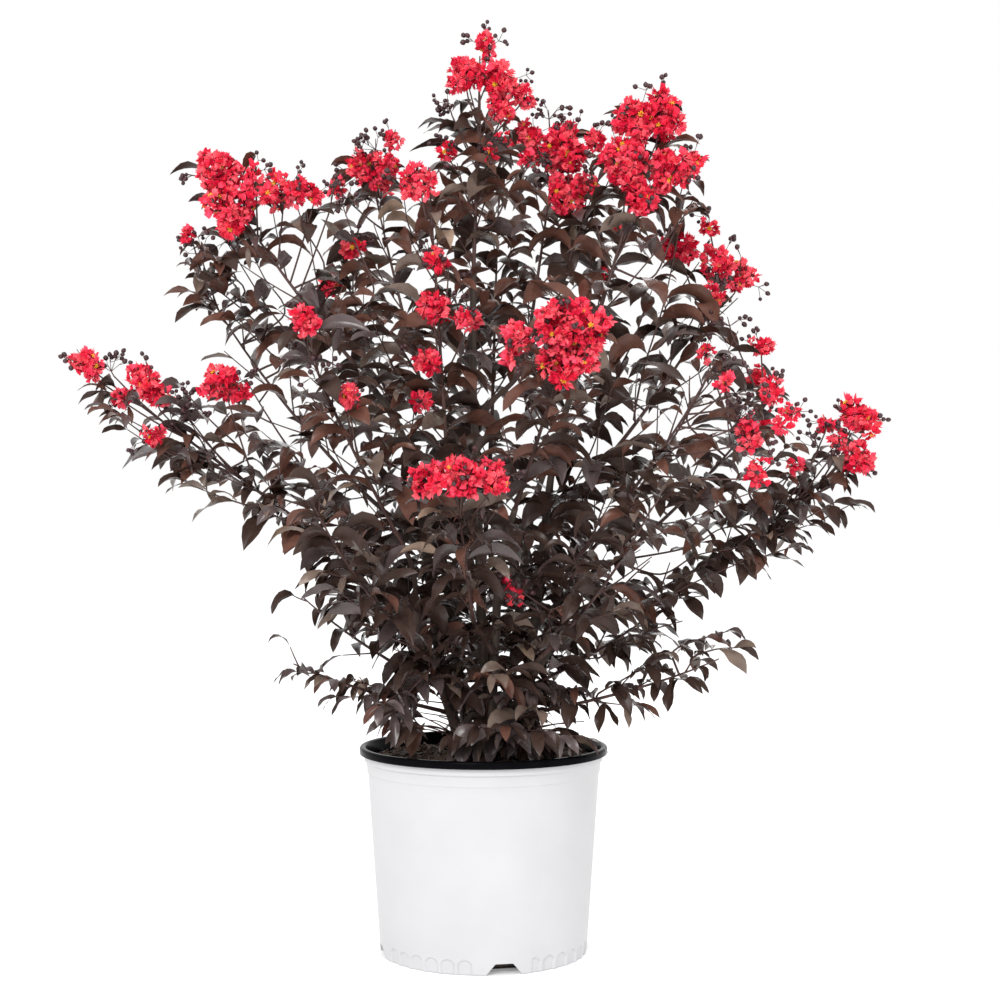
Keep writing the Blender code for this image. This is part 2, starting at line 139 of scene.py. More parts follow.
# How those colours are dealt out: in the upper crown, in the low crown, darker there as painted shade, and
# over the soil
UPPER_SHARES = np.array((0.28, 0.50, 0.13, 0.07, 0.02))
LOW_SHADE_SHARES = np.array((0.68, 0.06, 0.19, 0.06, 0.01))
FOOT_SHARES = np.array((0.30, 0.07, 0.44, 0.18, 0.01))
STALK_SHARES = np.array((0.45, 0.30, 0.20, 0.05, 0.0))  # small leaves below a panicle

# How a mass grows: leaf length, distance between pairs of leaves, distance between side shoots, how far they
# spread from the middle line, how much leaves droop, and how far shoots stop inside the outline.
Habit = namedtuple("Habit", "leaf pairs step spread droop inset")
UPPER_HABIT = Habit(0.067, 0.034, 0.037, (0.42, 0.80), 1.75, 0.036)
MIDDLE_HABIT = Habit(0.062, 0.033, 0.029, (0.50, 0.95), 1.85, 0.032)
LOW_HABIT = Habit(0.058, 0.039, 0.031, (0.50, 0.95), 2.2, 0.030)
LEFT_ARM_HABIT = Habit(0.060, 0.033, 0.031, (0.45, 0.85), 1.65, 0.024)
RIGHT_ARM_HABIT = Habit(0.050, 0.027, 0.026, (0.45, 0.85), 2.1, 0.022)
SPRIG_HABIT = Habit(0.044, 0.023, 0.034, (0.40, 0.70), 2.2, 0.020)
HABITS = {
    "left_arm": LEFT_ARM_HABIT,
    "right_arm": RIGHT_ARM_HABIT,
    "low_left_sprig": SPRIG_HABIT,
    "low_right_sprig": SPRIG_HABIT,
    "low_left": Habit(0.052, 0.032, 0.038, (0.45, 0.85), 2.2, 0.036),
    "low_front": Habit(0.056, 0.042, 0.044, (0.45, 0.95), 2.0, 0.030),
    "crown_top": Habit(0.062, 0.031, 0.030, (0.40, 0.75), 1.7, 0.032),
}
UPPER_FROM = 0.78  # a mass whose tip is above this height grows openly
LOW_TO = 0.47  # and one whose tip is below this hangs down
MAIN_END = 0.050  # the middle shoot stops this far inside the tip, where its blossom begins

# Shoots from the foot, over the soil: bearing in degrees, reach and height of their ends
FOOT_SHOOTS = (
    (214, 128, 280), (229, 100, 268), (246, 90, 252), (268, 104, 262), (284, 122, 266), (296, 140, 262),
    (303, 118, 280), (330, 140, 266), (318, 124, 258), (352, 78, 266), (24, 84, 262), (58, 94, 264),
    (92, 90, 266), (126, 98, 260), (160, 84, 264), (196, 84, 256), (222, 80, 292), (238, 72, 306),
    (256, 70, 300), (276, 74, 312), (310, 82, 306), (326, 146, 250), (303, 162, 258), (205, 118, 262),
    (220, 124, 258), (232, 128, 264), (241, 110, 274), (314, 148, 268),
)
FOOT_HABIT = Habit(0.056, 0.030, 0.0, (0.0, 0.0), 2.3, 0.0)

# Leafy shoots that the photo shows apart from the rest. The rows give the mass each belongs to, how it grows,
# its depth at the end, and where it passes on the plane through the plant's middle.
Whip = namedtuple("Whip", "mass path depth habit")
WHIPS = [
    Whip(mass, [(x / PER_METRE, z / PER_METRE) for x, z in path], depth / PER_METRE, habit)
    for mass, habit, depth, *path in (
        ("right_shoulder", UPPER_HABIT, 0, (170, 600), (182, 660), (205, 735), (224, 830)),
        ("right_shoulder", UPPER_HABIT, 10, (150, 640), (170, 690), (190, 745)),
        ("right_shoulder", UPPER_HABIT, 30, (200, 650), (235, 710), (258, 760)),
        ("upper_right", UPPER_HABIT, -20, (190, 760), (215, 810), (238, 850)),
        ("top_right", UPPER_HABIT, -20, (85, 740), (103, 800), (128, 865)),
        ("top_right", UPPER_HABIT, 10, (98, 780), (112, 825), (120, 875)),
        ("crown_top", UPPER_HABIT, 0, (-14, 918), (-34, 930)),
        ("crown_top", UPPER_HABIT, -10, (0, 880), (22, 925)),
        ("top_left", UPPER_HABIT, 10, (-70, 780), (-85, 820), (-90, 850)),
        ("left_shoulder", UPPER_HABIT, -20, (-215, 680), (-250, 735), (-290, 800)),
        ("left_shoulder", UPPER_HABIT, -10, (-250, 700), (-295, 742), (-325, 758)),
        ("upper_left", UPPER_HABIT, -40, (-125, 740), (-145, 800), (-162, 850)),
        ("upper_left", UPPER_HABIT, -30, (-180, 770), (-202, 815), (-212, 845)),
        ("left_arm", MIDDLE_HABIT, -30, (-270, 560), (-310, 600), (-345, 640)),
        ("front_low_left", LOW_HABIT, -80, (-140, 415), (-190, 455), (-230, 500)),
        ("low_left", LOW_HABIT, -40, (-120, 375), (-150, 400), (-185, 425)),
        ("low_left_sprig", LOW_HABIT, -85, (-48, 312), (-96, 300), (-128, 287)),
        ("front_upper_right", MIDDLE_HABIT, -110, (100, 520), (124, 570), (145, 635)),
        ("right_front", MIDDLE_HABIT, -120, (215, 470), (260, 500), (310, 520)),
        ("right_front", LOW_HABIT, -80, (230, 455), (265, 475), (290, 480)),
        ("right_side", MIDDLE_HABIT, -10, (230, 600), (262, 650), (288, 700)),
        ("right_side", MIDDLE_HABIT, -60, (205, 500), (245, 512), (285, 530)),
        ("right_arm", RIGHT_ARM_HABIT, -40, (280, 490), (330, 525), (370, 555)),
        ("right_arm", RIGHT_ARM_HABIT, -60, (300, 470), (350, 482), (395, 505)),
        ("left_arm", LEFT_ARM_HABIT, -50, (-300, 548), (-350, 572), (-405, 602)),
        ("left_arm", LEFT_ARM_HABIT, -60, (-260, 520), (-300, 545), (-335, 568)),
        ("crown_top", UPPER_HABIT, -30, (-10, 830), (-22, 860), (-30, 890)),
        ("crown_top", UPPER_HABIT, -30, (10, 820), (30, 860), (46, 890)),
        ("top_right", UPPER_HABIT, -20, (110, 810), (132, 850), (146, 880)),
        ("front_upper_left", MIDDLE_HABIT, -110, (-90, 640), (-112, 680), (-125, 710)),
        ("front_low_left", LOW_HABIT, -110, (-120, 388), (-155, 400), (-184, 402)),
        ("low_left_sprig", SPRIG_HABIT, -60, (-80, 290), (-115, 296), (-150, 305)),
        ("left_shoulder", UPPER_HABIT, 0, (-225, 720), (-248, 760), (-264, 792)),
        ("left_shoulder", UPPER_HABIT, -20, (-230, 660), (-258, 692), (-280, 712)),
        ("left_arm", MIDDLE_HABIT, 0, (-230, 540), (-258, 572), (-290, 604)),
        ("front_upper_left", MIDDLE_HABIT, -100, (-50, 540), (-75, 568), (-95, 588)),
        ("low_left_sprig", SPRIG_HABIT, -110, (-50, 318), (-86, 296), (-116, 276)),
        ("front_upper_right", MIDDLE_HABIT, -115, (112, 500), (126, 545), (130, 590)),
        ("right_arm", RIGHT_ARM_HABIT, -30, (340, 500), (385, 520), (415, 538)),
        ("right_front", LOW_HABIT, -100, (200, 425), (240, 446), (282, 454)),
        ("low_right_sprig", SPRIG_HABIT, -50, (215, 338), (250, 353), (278, 361)),
        ("low_right", SPRIG_HABIT, -80, (130, 330), (155, 346), (176, 350)),
        ("upper_right", UPPER_HABIT, -30, (200, 800), (218, 840), (228, 874)),
        ("left_shoulder", UPPER_HABIT, -20, (-270, 745), (-295, 772), (-316, 796)),
        ("right_shoulder", UPPER_HABIT, 20, (205, 720), (226, 752), (244, 778)),
        ("front_low_left", LOW_HABIT, -60, (-150, 440), (-195, 468), (-245, 496)),
        ("left_arm", LEFT_ARM_HABIT, -70, (-200, 500), (-260, 520), (-315, 545)),
        ("left_arm", LEFT_ARM_HABIT, -80, (-350, 560), (-385, 584), (-418, 608)),
        ("right_front", LOW_HABIT, -90, (180, 385), (235, 414), (290, 438)),
        ("right_arm", RIGHT_ARM_HABIT, -70, (290, 450), (330, 468), (366, 480)),
        ("right_arm", RIGHT_ARM_HABIT, -100, (300, 520), (322, 545), (340, 566)),
        ("right_arm", RIGHT_ARM_HABIT, -20, (360, 532), (385, 556), (402, 576)),
        ("left_front", MIDDLE_HABIT, -80, (-100, 690), (-130, 722), (-155, 745)),
        ("front_upper_left", MIDDLE_HABIT, -105, (-40, 560), (-66, 584), (-90, 600)),
        ("left_front", MIDDLE_HABIT, -90, (-110, 520), (-150, 548), (-182, 572)),
        ("left_shoulder", UPPER_HABIT, 0, (-280, 760), (-306, 780), (-324, 788)),
        ("low_left_sprig", LOW_HABIT, -90, (-56, 322), (-84, 292), (-100, 270)),
        ("low_left", LOW_HABIT, -90, (-40, 280), (-58, 300), (-70, 312)),
        ("left_arm", LEFT_ARM_HABIT, -50, (-300, 530), (-350, 554), (-402, 588)),
        ("left_arm", LEFT_ARM_HABIT, -70, (-240, 496), (-290, 510), (-332, 526)),
        ("right_arm", RIGHT_ARM_HABIT, -60, (300, 440), (325, 448), (350, 456)),
        ("right_arm", RIGHT_ARM_HABIT, -30, (370, 482), (392, 492), (412, 502)),
        ("low_right_sprig", SPRIG_HABIT, -60, (235, 330), (262, 340), (288, 342)),
        ("front_low_right", LOW_HABIT, -100, (145, 400), (168, 422), (188, 440)),
        ("left_shoulder", UPPER_HABIT, -10, (-286, 766), (-304, 786), (-324, 798)),
        ("low_right", LOW_HABIT, -60, (150, 340), (185, 360), (225, 372)),
        ("low_right_sprig", LOW_HABIT, -70, (130, 290), (165, 310), (195, 330)),
    )
]

# Ellipses of open sky on that plane, where no leaf's middle lies: x, z, half width and half height
SKY_MARGIN = 1.08  # they open this much wider
SKY_WINDOWS = (
    (-302, 690, 22, 18), (-252, 650, 24, 18), (-232, 590, 24, 16), (-230, 745, 16, 26),
    (-200, 775, 18, 20), (-120, 800, 16, 22), (-85, 745, 11, 14), (28, 850, 12, 22), (16, 764, 11, 12),
    (164, 780, 14, 18), (290, 795, 18, 14), (315, 745, 18, 24), (335, 690, 18, 14), (356, 644, 26, 24),
    (240, 612, 24, 16), (155, 580, 14, 12), (180, 610, 16, 12), (24, 622, 22, 22), (200, 490, 14, 18),
    (450, 580, 14, 20), (-430, 668, 34, 14), (-268, 487, 24, 10), (-212, 425, 18, 12),
    (-190, 366, 34, 12), (-226, 334, 14, 14), (-135, 325, 30, 12), (-52, 268, 14, 14), (80, 256, 18, 14),
    (135, 322, 24, 12), (270, 318, 20, 12), (265, 402, 22, 11), (-322, 905, 20, 16), (-222, 718, 18, 22),
    (-72, 905, 24, 12), (-184, 558, 24, 14), (-135, 498, 20, 15), (205, 590, 22, 12), (196, 442, 26, 20),
    (120, 300, 20, 10), (300, 770, 20, 14), (-335, 715, 12, 12), (34, 494, 14, 14), (-52, 266, 28, 26),
    (155, 420, 14, 10), (-335, 655, 34, 14), (-262, 620, 20, 12), (-216, 580, 14, 12), (245, 635, 18, 22),
    (280, 560, 12, 12), (364, 617, 24, 20), (55, 945, 22, 12), (-134, 826, 16, 18), (-205, 885, 18, 12),
    (-345, 800, 18, 20), (-326, 905, 26, 20), (172, 752, 12, 12), (302, 705, 16, 14), (-206, 392, 20, 14),
    (-165, 340, 20, 12), (122, 320, 14, 12), (233, 368, 16, 10), (-470, 690, 30, 30), (30, 844, 22, 18),
    (150, 722, 14, 14), (152, 676, 12, 10), (196, 780, 10, 12), (228, 585, 16, 12), (46, 580, 12, 12),
    (130, 498, 14, 10), (150, 382, 12, 10), (112, 250, 22, 12), (-108, 334, 16, 10), (-255, 455, 14, 18),
    (-150, 556, 14, 12), (-298, 548, 12, 10), (-222, 615, 14, 12), (-185, 672, 14, 12),
    (-48, 1030, 40, 30), (50, 1030, 55, 40), (-56, 956, 20, 13), (-182, 800, 14, 12), (-350, 762, 20, 14),
    (-264, 758, 14, 18), (-286, 680, 14, 12), (-200, 640, 12, 14), (-302, 592, 16, 9), (260, 868, 18, 20),
    (278, 722, 14, 10), (226, 650, 14, 14), (366, 482, 16, 10), (128, 518, 12, 10), (170, 330, 12, 8),
    (262, 330, 14, 10), (-148, 281, 12, 10), (190, 492, 14, 12), (440, 640, 40, 20), (-486, 652, 22, 30),
    (-395, 665, 30, 16), (98, 765, 10, 10), (-60, 235, 10, 8),
)

# Blossom
FLORET_RADIUS = 0.0102
PETAL_CLAW = (0.08, 0.50)  # along a petal's thin claw, as a share of the floret's radius
PETAL_CLAW_WIDTH = 0.035
PETAL_ROWS = (0.43, 0.62, 0.82, 1.0)  # along its blade
PETAL_WIDTHS = (0.08, 0.26, 0.36, 0.30)  # half widths there
PETAL_FRINGE = (0.0, 0.0, 0.03, 0.13)  # how far its edge's points stand out
PETAL_FRILL = (0.25, 0.65, 1.0, 1.15)  # how crinkled it is there
PETAL_COLUMNS = 9
PETAL_COUNT = 6
CRINKLE = 0.130  # of the floret's radius
PETAL_KINDS = 24
PETAL_TURN = 0.22  # how unevenly a floret's petals are spaced, as a share of their pitch
OWN_TINT = 0.45  # share of a floret's petals that have its own colour
LOBE_RADIUS = 0.0100  # of the small round clusters that make up a panicle
LOBE_CROWDING = 0.74
FLORET_CROWDING = 2.0
FLORET_SPACING = 0.72  # as a share of a floret's radius
FLORET_SIZES = (0.70, 1.18)
STAMEN_COUNT = 14
TUFTED_SHARE = 0.24  # of the florets that show their stamens
BUD_RADIUS = 0.0029
# Petal reds differ from petal to petal; the coral tint is partly a painted highlight and the deep tint partly
# painted shade
PETAL_TINTS = {
    "petals_coral_highlight": (0.93, 0.120, 0.160),
    "petals_rose": (0.90, 0.068, 0.130),
    "petals_crimson": (0.80, 0.026, 0.070),
    "petals_deep_shade": (0.60, 0.008, 0.040),
}
PETAL_SHARES = (0.32, 0.22, 0.28, 0.18)


def unit(v):
    v = np.asarray(v, float)
    return v / np.maximum(np.linalg.norm(v, axis=-1, keepdims=True), 1e-9)


def generator(*key):
    return np.random.default_rng([SEED, *key])


def bezier(start, bend, end, t):
    return (1 - t) ** 2 * start + 2 * t * (1 - t) * bend + t**2 * end


def line_frames(points):
    """The direction of a line at each of its points, and two directions square to it."""
    tangents = unit(np.gradient(points, axis=0))
    first = unit(np.cross(tangents, SKEW))
    return tangents, first, np.cross(tangents, first)


def placed(name, data):
    """A new object in the scene."""
    made = bpy.data.objects.new(name, data)
    bpy.context.scene.collection.objects.link(made)
    return made


def modified_mesh(made):
    """A new mesh of an object with its modifiers applied."""
    return bpy.data.meshes.new_from_object(made.evaluated_get(bpy.context.evaluated_depsgraph_get()))


def seen_at(x, z, y):
    """The point at depth y that the camera sees where (x, z) is on the plane through the plant's middle."""
    x0, near, height = CAMERA_PLACE
    scale = (y - near) / -near
    return np.array((x0 + (x - x0) * scale, y, height + (z - height) * scale))


# Materials


def material(
    name, colour, second, roughness, scale, bump=0.0, bump_scale=None, stretch=(1, 1, 1), specular=0.5
):
    """Two close colours mixed by noise, noise in the roughness, and a fine bump."""
    made = bpy.data.materials.new(name)
    made.use_nodes = True
    tree = made.node_tree
    shader = tree.nodes["Principled BSDF"]
    shader.inputs["Specular IOR Level"].default_value = specular
    place = tree.nodes.new("ShaderNodeTexCoord")
    mapping = tree.nodes.new("ShaderNodeMapping")
    mapping.inputs["Scale"].default_value = stretch
    tree.links.new(place.outputs["Object"], mapping.inputs["Vector"])

    def noise_node(size, detail):
        node = tree.nodes.new("ShaderNodeTexNoise")
        node.inputs["Scale"].default_value = size
        node.inputs["Detail"].default_value = detail
        tree.links.new(mapping.outputs["Vector"], node.inputs["Vector"])
        return node

    patches = noise_node(scale, 4.0)
    ramp = tree.nodes.new("ShaderNodeValToRGB")
    ramp.color_ramp.elements[0].position = 0.36
    ramp.color_ramp.elements[0].color = (*colour, 1.0)
    ramp.color_ramp.elements[1].position = 0.66
    ramp.color_ramp.elements[1].color = (*second, 1.0)
    tree.links.new(patches.outputs["Fac"], ramp.inputs["Fac"])
    tree.links.new(ramp.outputs["Color"], shader.inputs["Base Color"])
    rough = tree.nodes.new("ShaderNodeMapRange")
    rough.inputs["To Min"].default_value = roughness - 0.08
    rough.inputs["To Max"].default_value = roughness + 0.08
    tree.links.new(patches.outputs["Fac"], rough.inputs["Value"])
    tree.links.new(rough.outputs["Result"], shader.inputs["Roughness"])
    if bump:
        grain = noise_node(bump_scale, 5.0)
        relief = tree.nodes.new("ShaderNodeBump")
        relief.inputs["Strength"].default_value = 0.6
        relief.inputs["Distance"].default_value = bump
        tree.links.new(grain.outputs["Fac"], relief.inputs["Height"])
        tree.links.new(relief.outputs["Normal"], shader.inputs["Normal"])
    return made


def shade(colour, factor):
    return tuple(min(1.0, c * factor) for c in colour)


def add_piece(name, verts, faces, finish, slot, nodes=()):
    """One smooth mesh that rides on the plant's only body, and stands for the CAD nodes named."""
    mesh = bpy.data.meshes.new(name)
    mesh.from_pydata(np.asarray(verts, np.float32).tolist(), [], np.asarray(faces).tolist())
    mesh.materials.append(finish)
    mesh.shade_smooth()
    made = placed(name, mesh)
    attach(made, "root")
    if nodes:
        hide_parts(*nodes)
    return made


class Heap:
    """Many small triangle meshes that become one piece."""

    def __init__(self):
        self.verts = []
        self.faces = []
        self.count = 0

    def add(self, verts, faces):
        self.verts.append(verts)
        self.faces.append(faces + self.count)
        self.count += len(verts)

    def piece(self, name, finish, slot, nodes=()):
        verts = np.concatenate(self.verts)
        return add_piece(name, verts, np.concatenate(self.faces), finish, slot, nodes)


def strip_faces(rows, columns, closed=False):
    """Triangles of a grid of rows by columns points."""
    faces = []
    last = columns if closed else columns - 1
    for r in range(rows - 1):
        for c in range(last):
            a = r * columns + c
            b = r * columns + (c + 1) % columns
            faces.append((a, b, b + columns))
            faces.append((a, b + columns, a + columns))
    return np.array(faces)


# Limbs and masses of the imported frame


def node_points(name):
    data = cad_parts[name].data
    co = np.zeros(len(data.vertices) * 3)
    data.vertices.foreach_get("co", co)
    return np.unique(co.reshape(-1, 3).round(6), axis=0)


def limb_rings(name):
    """Centre and radius of each ring of a limb's solid, from its foot up."""
    points = node_points(name)
    left = list(range(len(points)))
    rings = []
    while left:
        group = [left.pop()]
        for member in group:
            near = [i for i in left if np.linalg.norm(points[i] - points[member]) < RING_REACH]
            group += near
            left = [i for i in left if i not in near]
        ring = points[group]
        centre = ring.mean(0)
        rings.append((centre, np.linalg.norm(ring - centre, axis=1).mean()))
    rings.sort(key=lambda ring: ring[0][2])
    return rings


def smooth_line(knots, step):
    """Points along a Catmull-Rom curve through the knots, whose last column may hold a radius."""
    knots = np.asarray(knots, float)
    ends = np.vstack((2 * knots[0] - knots[1], knots, 2 * knots[-1] - knots[-2]))
    line = []
    for i in range(1, len(ends) - 2):
        a, b, c, d = ends[i - 1 : i + 3]
        count = max(2, math.ceil(np.linalg.norm((c - b)[:3]) / step))
        for t in np.arange(count) / count:
            square = (2 * a - 5 * b + 4 * c - d) * t**2
            cube = (3 * b - a - 3 * c + d) * t**3
            line.append(0.5 * (2 * b + (c - a) * t + square + cube))
    line.append(knots[-1])
    return np.array(line)


STEM_NODES = sorted(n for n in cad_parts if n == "leader" or n.startswith("stem_"))
BOUGH_NODES = sorted(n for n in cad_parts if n.startswith("bough_"))
MASS_NODES = sorted(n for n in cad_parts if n.startswith("foliage_"))


def limb_lines():
    """Each limb's centre line with its radius in the last column. A bough starts inside its stem."""
    lines = {}
    for name in STEM_NODES:
        lines[name] = smooth_line([(*c, r) for c, r in limb_rings(name)], LIMB_STEP)
    on_stems = np.vstack([lines[n] for n in STEM_NODES])
    for name in BOUGH_NODES:
        knots = [(*c, r) for c, r in limb_rings(name)]
        start = on_stems[np.argmin(np.linalg.norm(on_stems[:, :3] - knots[0][:3], axis=1))]
        if np.linalg.norm(start[:3] - knots[0][:3]) > 0.001:
            knots.insert(0, (*start[:3], knots[0][3]))
        lines[name] = smooth_line(knots, LIMB_STEP)
    return lines


LIMBS = limb_lines()


class Mass:
    """A mass of foliage: its outline, and the curved line along its middle from the limb that bears it."""

    def __init__(self, name):
        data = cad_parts[name].data
        self.name = name
        self.tree = BVHTree.FromPolygons(
            [v.co for v in data.vertices], [tuple(p.vertices) for p in data.polygons]
        )
        points = node_points(name)
        ends = [(self.gap(line[-1, :3]), line[-1]) for line in LIMBS.values()]
        gap, end = min(ends, key=lambda item: item[0])
        if gap > 0.005:
            ends = ((self.gap(row[:3]), row) for line in LIMBS.values() for row in line)
            gap, end = min(ends, key=lambda item: item[0])
        self.root = end[:3]
        self.radius = min(end[3], 0.0026)
        self.tip = points[np.argmax(np.linalg.norm(points - self.root, axis=1))]
        span = self.tip - self.root
        along = (points - self.root) @ span / (span @ span)
        middle = points[(along > 0.30) & (along < 0.70)].mean(0)
        self.control = 2 * middle - (self.root + self.tip) / 2
        self.length = np.linalg.norm(span)

    def gap(self, point):
        return self.tree.find_nearest(Vector(point))[3]

    def at(self, t):
        return bezier(self.root, self.control, self.tip, t)

    def tangent(self, t):
        return unit(2 * (1 - t) * (self.control - self.root) + 2 * t * (self.tip - self.control))

    def reach(self, point, direction, longest):
        """How far it is to the outline from a point inside it."""
        hit = self.tree.ray_cast(Vector(point), Vector(direction), longest)
        return hit[3] if hit[0] is not None else longest


MASSES = {name[len("foliage_") :]: Mass(name) for name in MASS_NODES}


# What grows: tubes for twigs, and one row for each leaf, floret and bud


class Growth:
    def __init__(self):
        self.tubes = []
        self.leaves = []
        self.florets = []
        self.buds = []

    def tube(self, points, start_radius, end_radius, sides=4):
        self.tubes.append((np.asarray(points), start_radius, end_radius, sides))

    def leaf(self, origin, direction, length, droop, tint, rng):
        self.leaves.append((*origin, *direction, length, droop, tint, *rng.random(6), len(self.tubes) - 1))


GROWN = Growth()


def cross_frame(tangent):
    """Two directions square to a shoot: one level, one on its upper side."""
    level = np.cross(tangent, UP)
    if np.linalg.norm(level) < 0.15:
        level = np.cross(tangent, (0.0, 1.0, 0.0))
    level = unit(level)
    return level, np.cross(level, tangent)


def shoot_path(start, direction, length, lift, rng, steps):
    """A thin shoot starts along direction, then turns up, or down where lift is below 0."""
    s = np.linspace(0.0, 1.0, steps + 1)[:, None]
    sway = unit(rng.normal(size=3)) * 0.10
    return start + length * (direction * s + (UP * lift + sway) * s**2)


def leaves_along(points, rng, habit, tints, size=1.0, first=0.5, ending=True):
    """Pairs of leaves along a shoot, in two rows where it leans out and crosswise where it stands up."""
    steps = np.linalg.norm(np.diff(points, axis=0), axis=1)
    travelled = np.concatenate(([0.0], np.cumsum(steps)))
    total = travelled[-1]
    place = first * habit.pairs
    turn = rng.uniform(0, math.pi)
    pair = 0
    while place < total:
        for side in (-1.0, 1.0):
            here = min(total, place + (rng.uniform(0, 0.25) * habit.pairs if side > 0 else 0.0))
            i = min(len(steps) - 1, int(np.searchsorted(travelled, here, side="right")) - 1)
            t = (here - travelled[i]) / max(steps[i], 1e-9)
            point = points[i] * (1 - t) + points[i + 1] * t
            tangent = unit(points[i + 1] - points[i])
            level, upper = cross_frame(tangent)
            upright = abs(tangent[2]) > 0.86
            angle = rng.normal(0, 0.30) + (turn + pair * math.pi / 2) * upright
            out = side * (level * math.cos(angle) + upper * math.sin(angle))
            out = unit(out * (SIDE_BIAS, 1.0, 1.0))
            open_angle = rng.uniform(*LEAF_OPEN)
            direction = unit(tangent * math.cos(open_angle) + out * math.sin(open_angle) + UP * LEAF_RISE)
            length = habit.leaf * size * rng.uniform(0.72, 1.20) * (1 - 0.40 * (here / total) ** 3)
            droop = habit.droop * rng.uniform(0.4, 1.4)
            GROWN.leaf(point, direction, length, droop, rng.choice(len(tints), p=tints), rng)
        place += habit.pairs * rng.uniform(0.85, 1.15)
        pair += 1
    if ending:
        tangent = unit(points[-1] - points[-2])
        level, upper = cross_frame(tangent)
        for side in (-1.0, 1.0):
            aside = side * level * rng.uniform(0.25, 0.6)
            direction = unit(tangent + aside + upper * rng.normal(0, 0.15))
            length = habit.leaf * size * rng.uniform(0.50, 0.75)
            tint = rng.choice(len(tints), p=tints)
            GROWN.leaf(points[-1], direction, length, habit.droop * 0.8, tint, rng)


def tint_shares(point, rng):
    """How the leaf colours are dealt to one spray, by its height, with darker shares low in the crown as
    painted shade. It has a favourite colour.
    """
    low = np.clip((LOW_SHADE_TINTS[0] - point[2]) / LOW_SHADE_TINTS[1], 0.0, 1.0)
    foot = np.clip((FOOT_TINTS[0] - point[2]) / FOOT_TINTS[1], 0.0, 1.0)
    shares = UPPER_SHARES * (1 - low) + LOW_SHADE_SHARES * low * (1 - foot) + FOOT_SHARES * foot
    favourite = rng.choice(len(shares), p=shares)
    shares[favourite] += FAVOURITE_SHARE
    return shares / shares.sum()


def habit_of(name, height):
    if name in HABITS:
        return HABITS[name]
    if height > UPPER_FROM:
        return UPPER_HABIT
    return LOW_HABIT if height < LOW_TO else MIDDLE_HABIT


def grow_mass(index, name, mass):
    rng = generator(1, index)
    habit = habit_of(name, mass.tip[2])
    end = 1.0 - MAIN_END / mass.length
    line = np.array([mass.at(t) for t in np.linspace(0.0, end, 12)])
    GROWN.tube(line, mass.radius, SHOOT_TIP_RADIUS * 1.3, MAIN_SIDES)
    leaves_along(line, rng, habit, tint_shares(mass.tip, rng), first=1.0, ending=False)
    count = max(3, round(mass.length / habit.step))
    for k in range(count):
        t = SIDE_SHOOTS[0] + SIDE_SHOOTS[1] * (k + rng.uniform(-0.3, 0.3)) / count
        start = mass.at(t)
        tangent = mass.tangent(t)
        level, upper = cross_frame(tangent)
        around = k * GOLDEN_ANGLE + rng.normal(0, 0.25)
        radial = level * math.cos(around) + upper * math.sin(around)
        spread = rng.uniform(*habit.spread)
        direction = unit(tangent * math.cos(spread) + radial * math.sin(spread) + UP * SIDE_SHOOT_RISE)
        reach = mass.reach(start, direction, REACH_LIMIT)
        length = min(SIDE_SHOOT_LENGTHS[1], max(SIDE_SHOOT_LENGTHS[0], reach - habit.inset))
        path = shoot_path(start, direction, length, rng.uniform(0.02, 0.18), rng, 5)
        GROWN.tube(path, SIDE_SHOOT_RADIUS, SHOOT_TIP_RADIUS)
        tints = tint_shares(path[-1], rng)
        size = rng.uniform(0.90, 1.08)
        leaves_along(path, rng, habit, tints, size)


def grow_spurs(index, name):
    """Short leafy spurs on a limb, below the mass that it bears."""
    rng = generator(2, index)
    line = LIMBS[name][:, :3]
    places = np.arange(0, len(line) - 1, SPUR_STEP / LIMB_STEP).astype(int)
    for k, i in enumerate(places):
        point = line[i]
        if point[2] < SPURS_FROM or (point[2] > SPURS_THIN_OUT and k % 2):
            continue
        habit = habit_of("", point[2] + 0.08)
        tangent = unit(line[i + 1] - line[i])
        level, upper = cross_frame(tangent)
        around = k * GOLDEN_ANGLE + index
        radial = level * math.cos(around) + upper * math.sin(around)
        outward = unit((point[0], point[1], 0.0))
        direction = unit(radial + tangent * 0.5 + outward * 0.45)
        path = shoot_path(point, direction, rng.uniform(*SPUR_LENGTHS), 0.05, rng, 3)
        GROWN.tube(path, SIDE_SHOOT_RADIUS * 0.9, SHOOT_TIP_RADIUS, 3)
        leaves_along(path, rng, habit, tint_shares(point, rng), rng.uniform(0.9, 1.1))


def grow_foot_shoot(index, bearing, reach, height):
    """A low shoot from the stool, whose leaves hang to the soil and the rim."""
    rng = generator(9, index)
    angle = math.radians(bearing)
    outward = np.array((math.cos(angle), math.sin(angle), 0.0))
    start = outward * 0.024 + UP * (POT_HEIGHT + 0.004)
    end = outward * (reach - 0.012) + UP * height
    middle = (start + end) / 2 + UP * 0.012
    s = np.linspace(0.0, 1.0, 6)[:, None]
    path = bezier(start, middle, end, s)
    GROWN.tube(path, SIDE_SHOOT_RADIUS * 1.2, SHOOT_TIP_RADIUS)
    leaves_along(path, rng, FOOT_HABIT, tint_shares(end, rng), first=0.9)


def grow_whip(index, row):
    """A leafy shoot along a path that the photo shows, from the nearest limb or middle line of its mass."""
    rng = generator(10, index)
    middle = [MASSES[row.mass].at(t) for t in np.linspace(0.0, 1.0, 31)]
    starts = np.vstack([line[:, :3] for line in LIMBS.values()] + [middle])
    first = np.array([seen_at(*row.path[0], point[1]) for point in starts])
    start = starts[np.argmin(np.linalg.norm(first - starts, axis=1))]
    depths = np.linspace(start[1], row.depth, len(row.path) + 1)[1:]
    line = smooth_line([start] + [seen_at(*place, depth) for place, depth in zip(row.path, depths)], 0.010)
    GROWN.tube(line, SIDE_SHOOT_RADIUS * 1.3, SHOOT_TIP_RADIUS, 5)
    leaves_along(line, rng, row.habit, tint_shares(line[-1], rng), first=0.7)


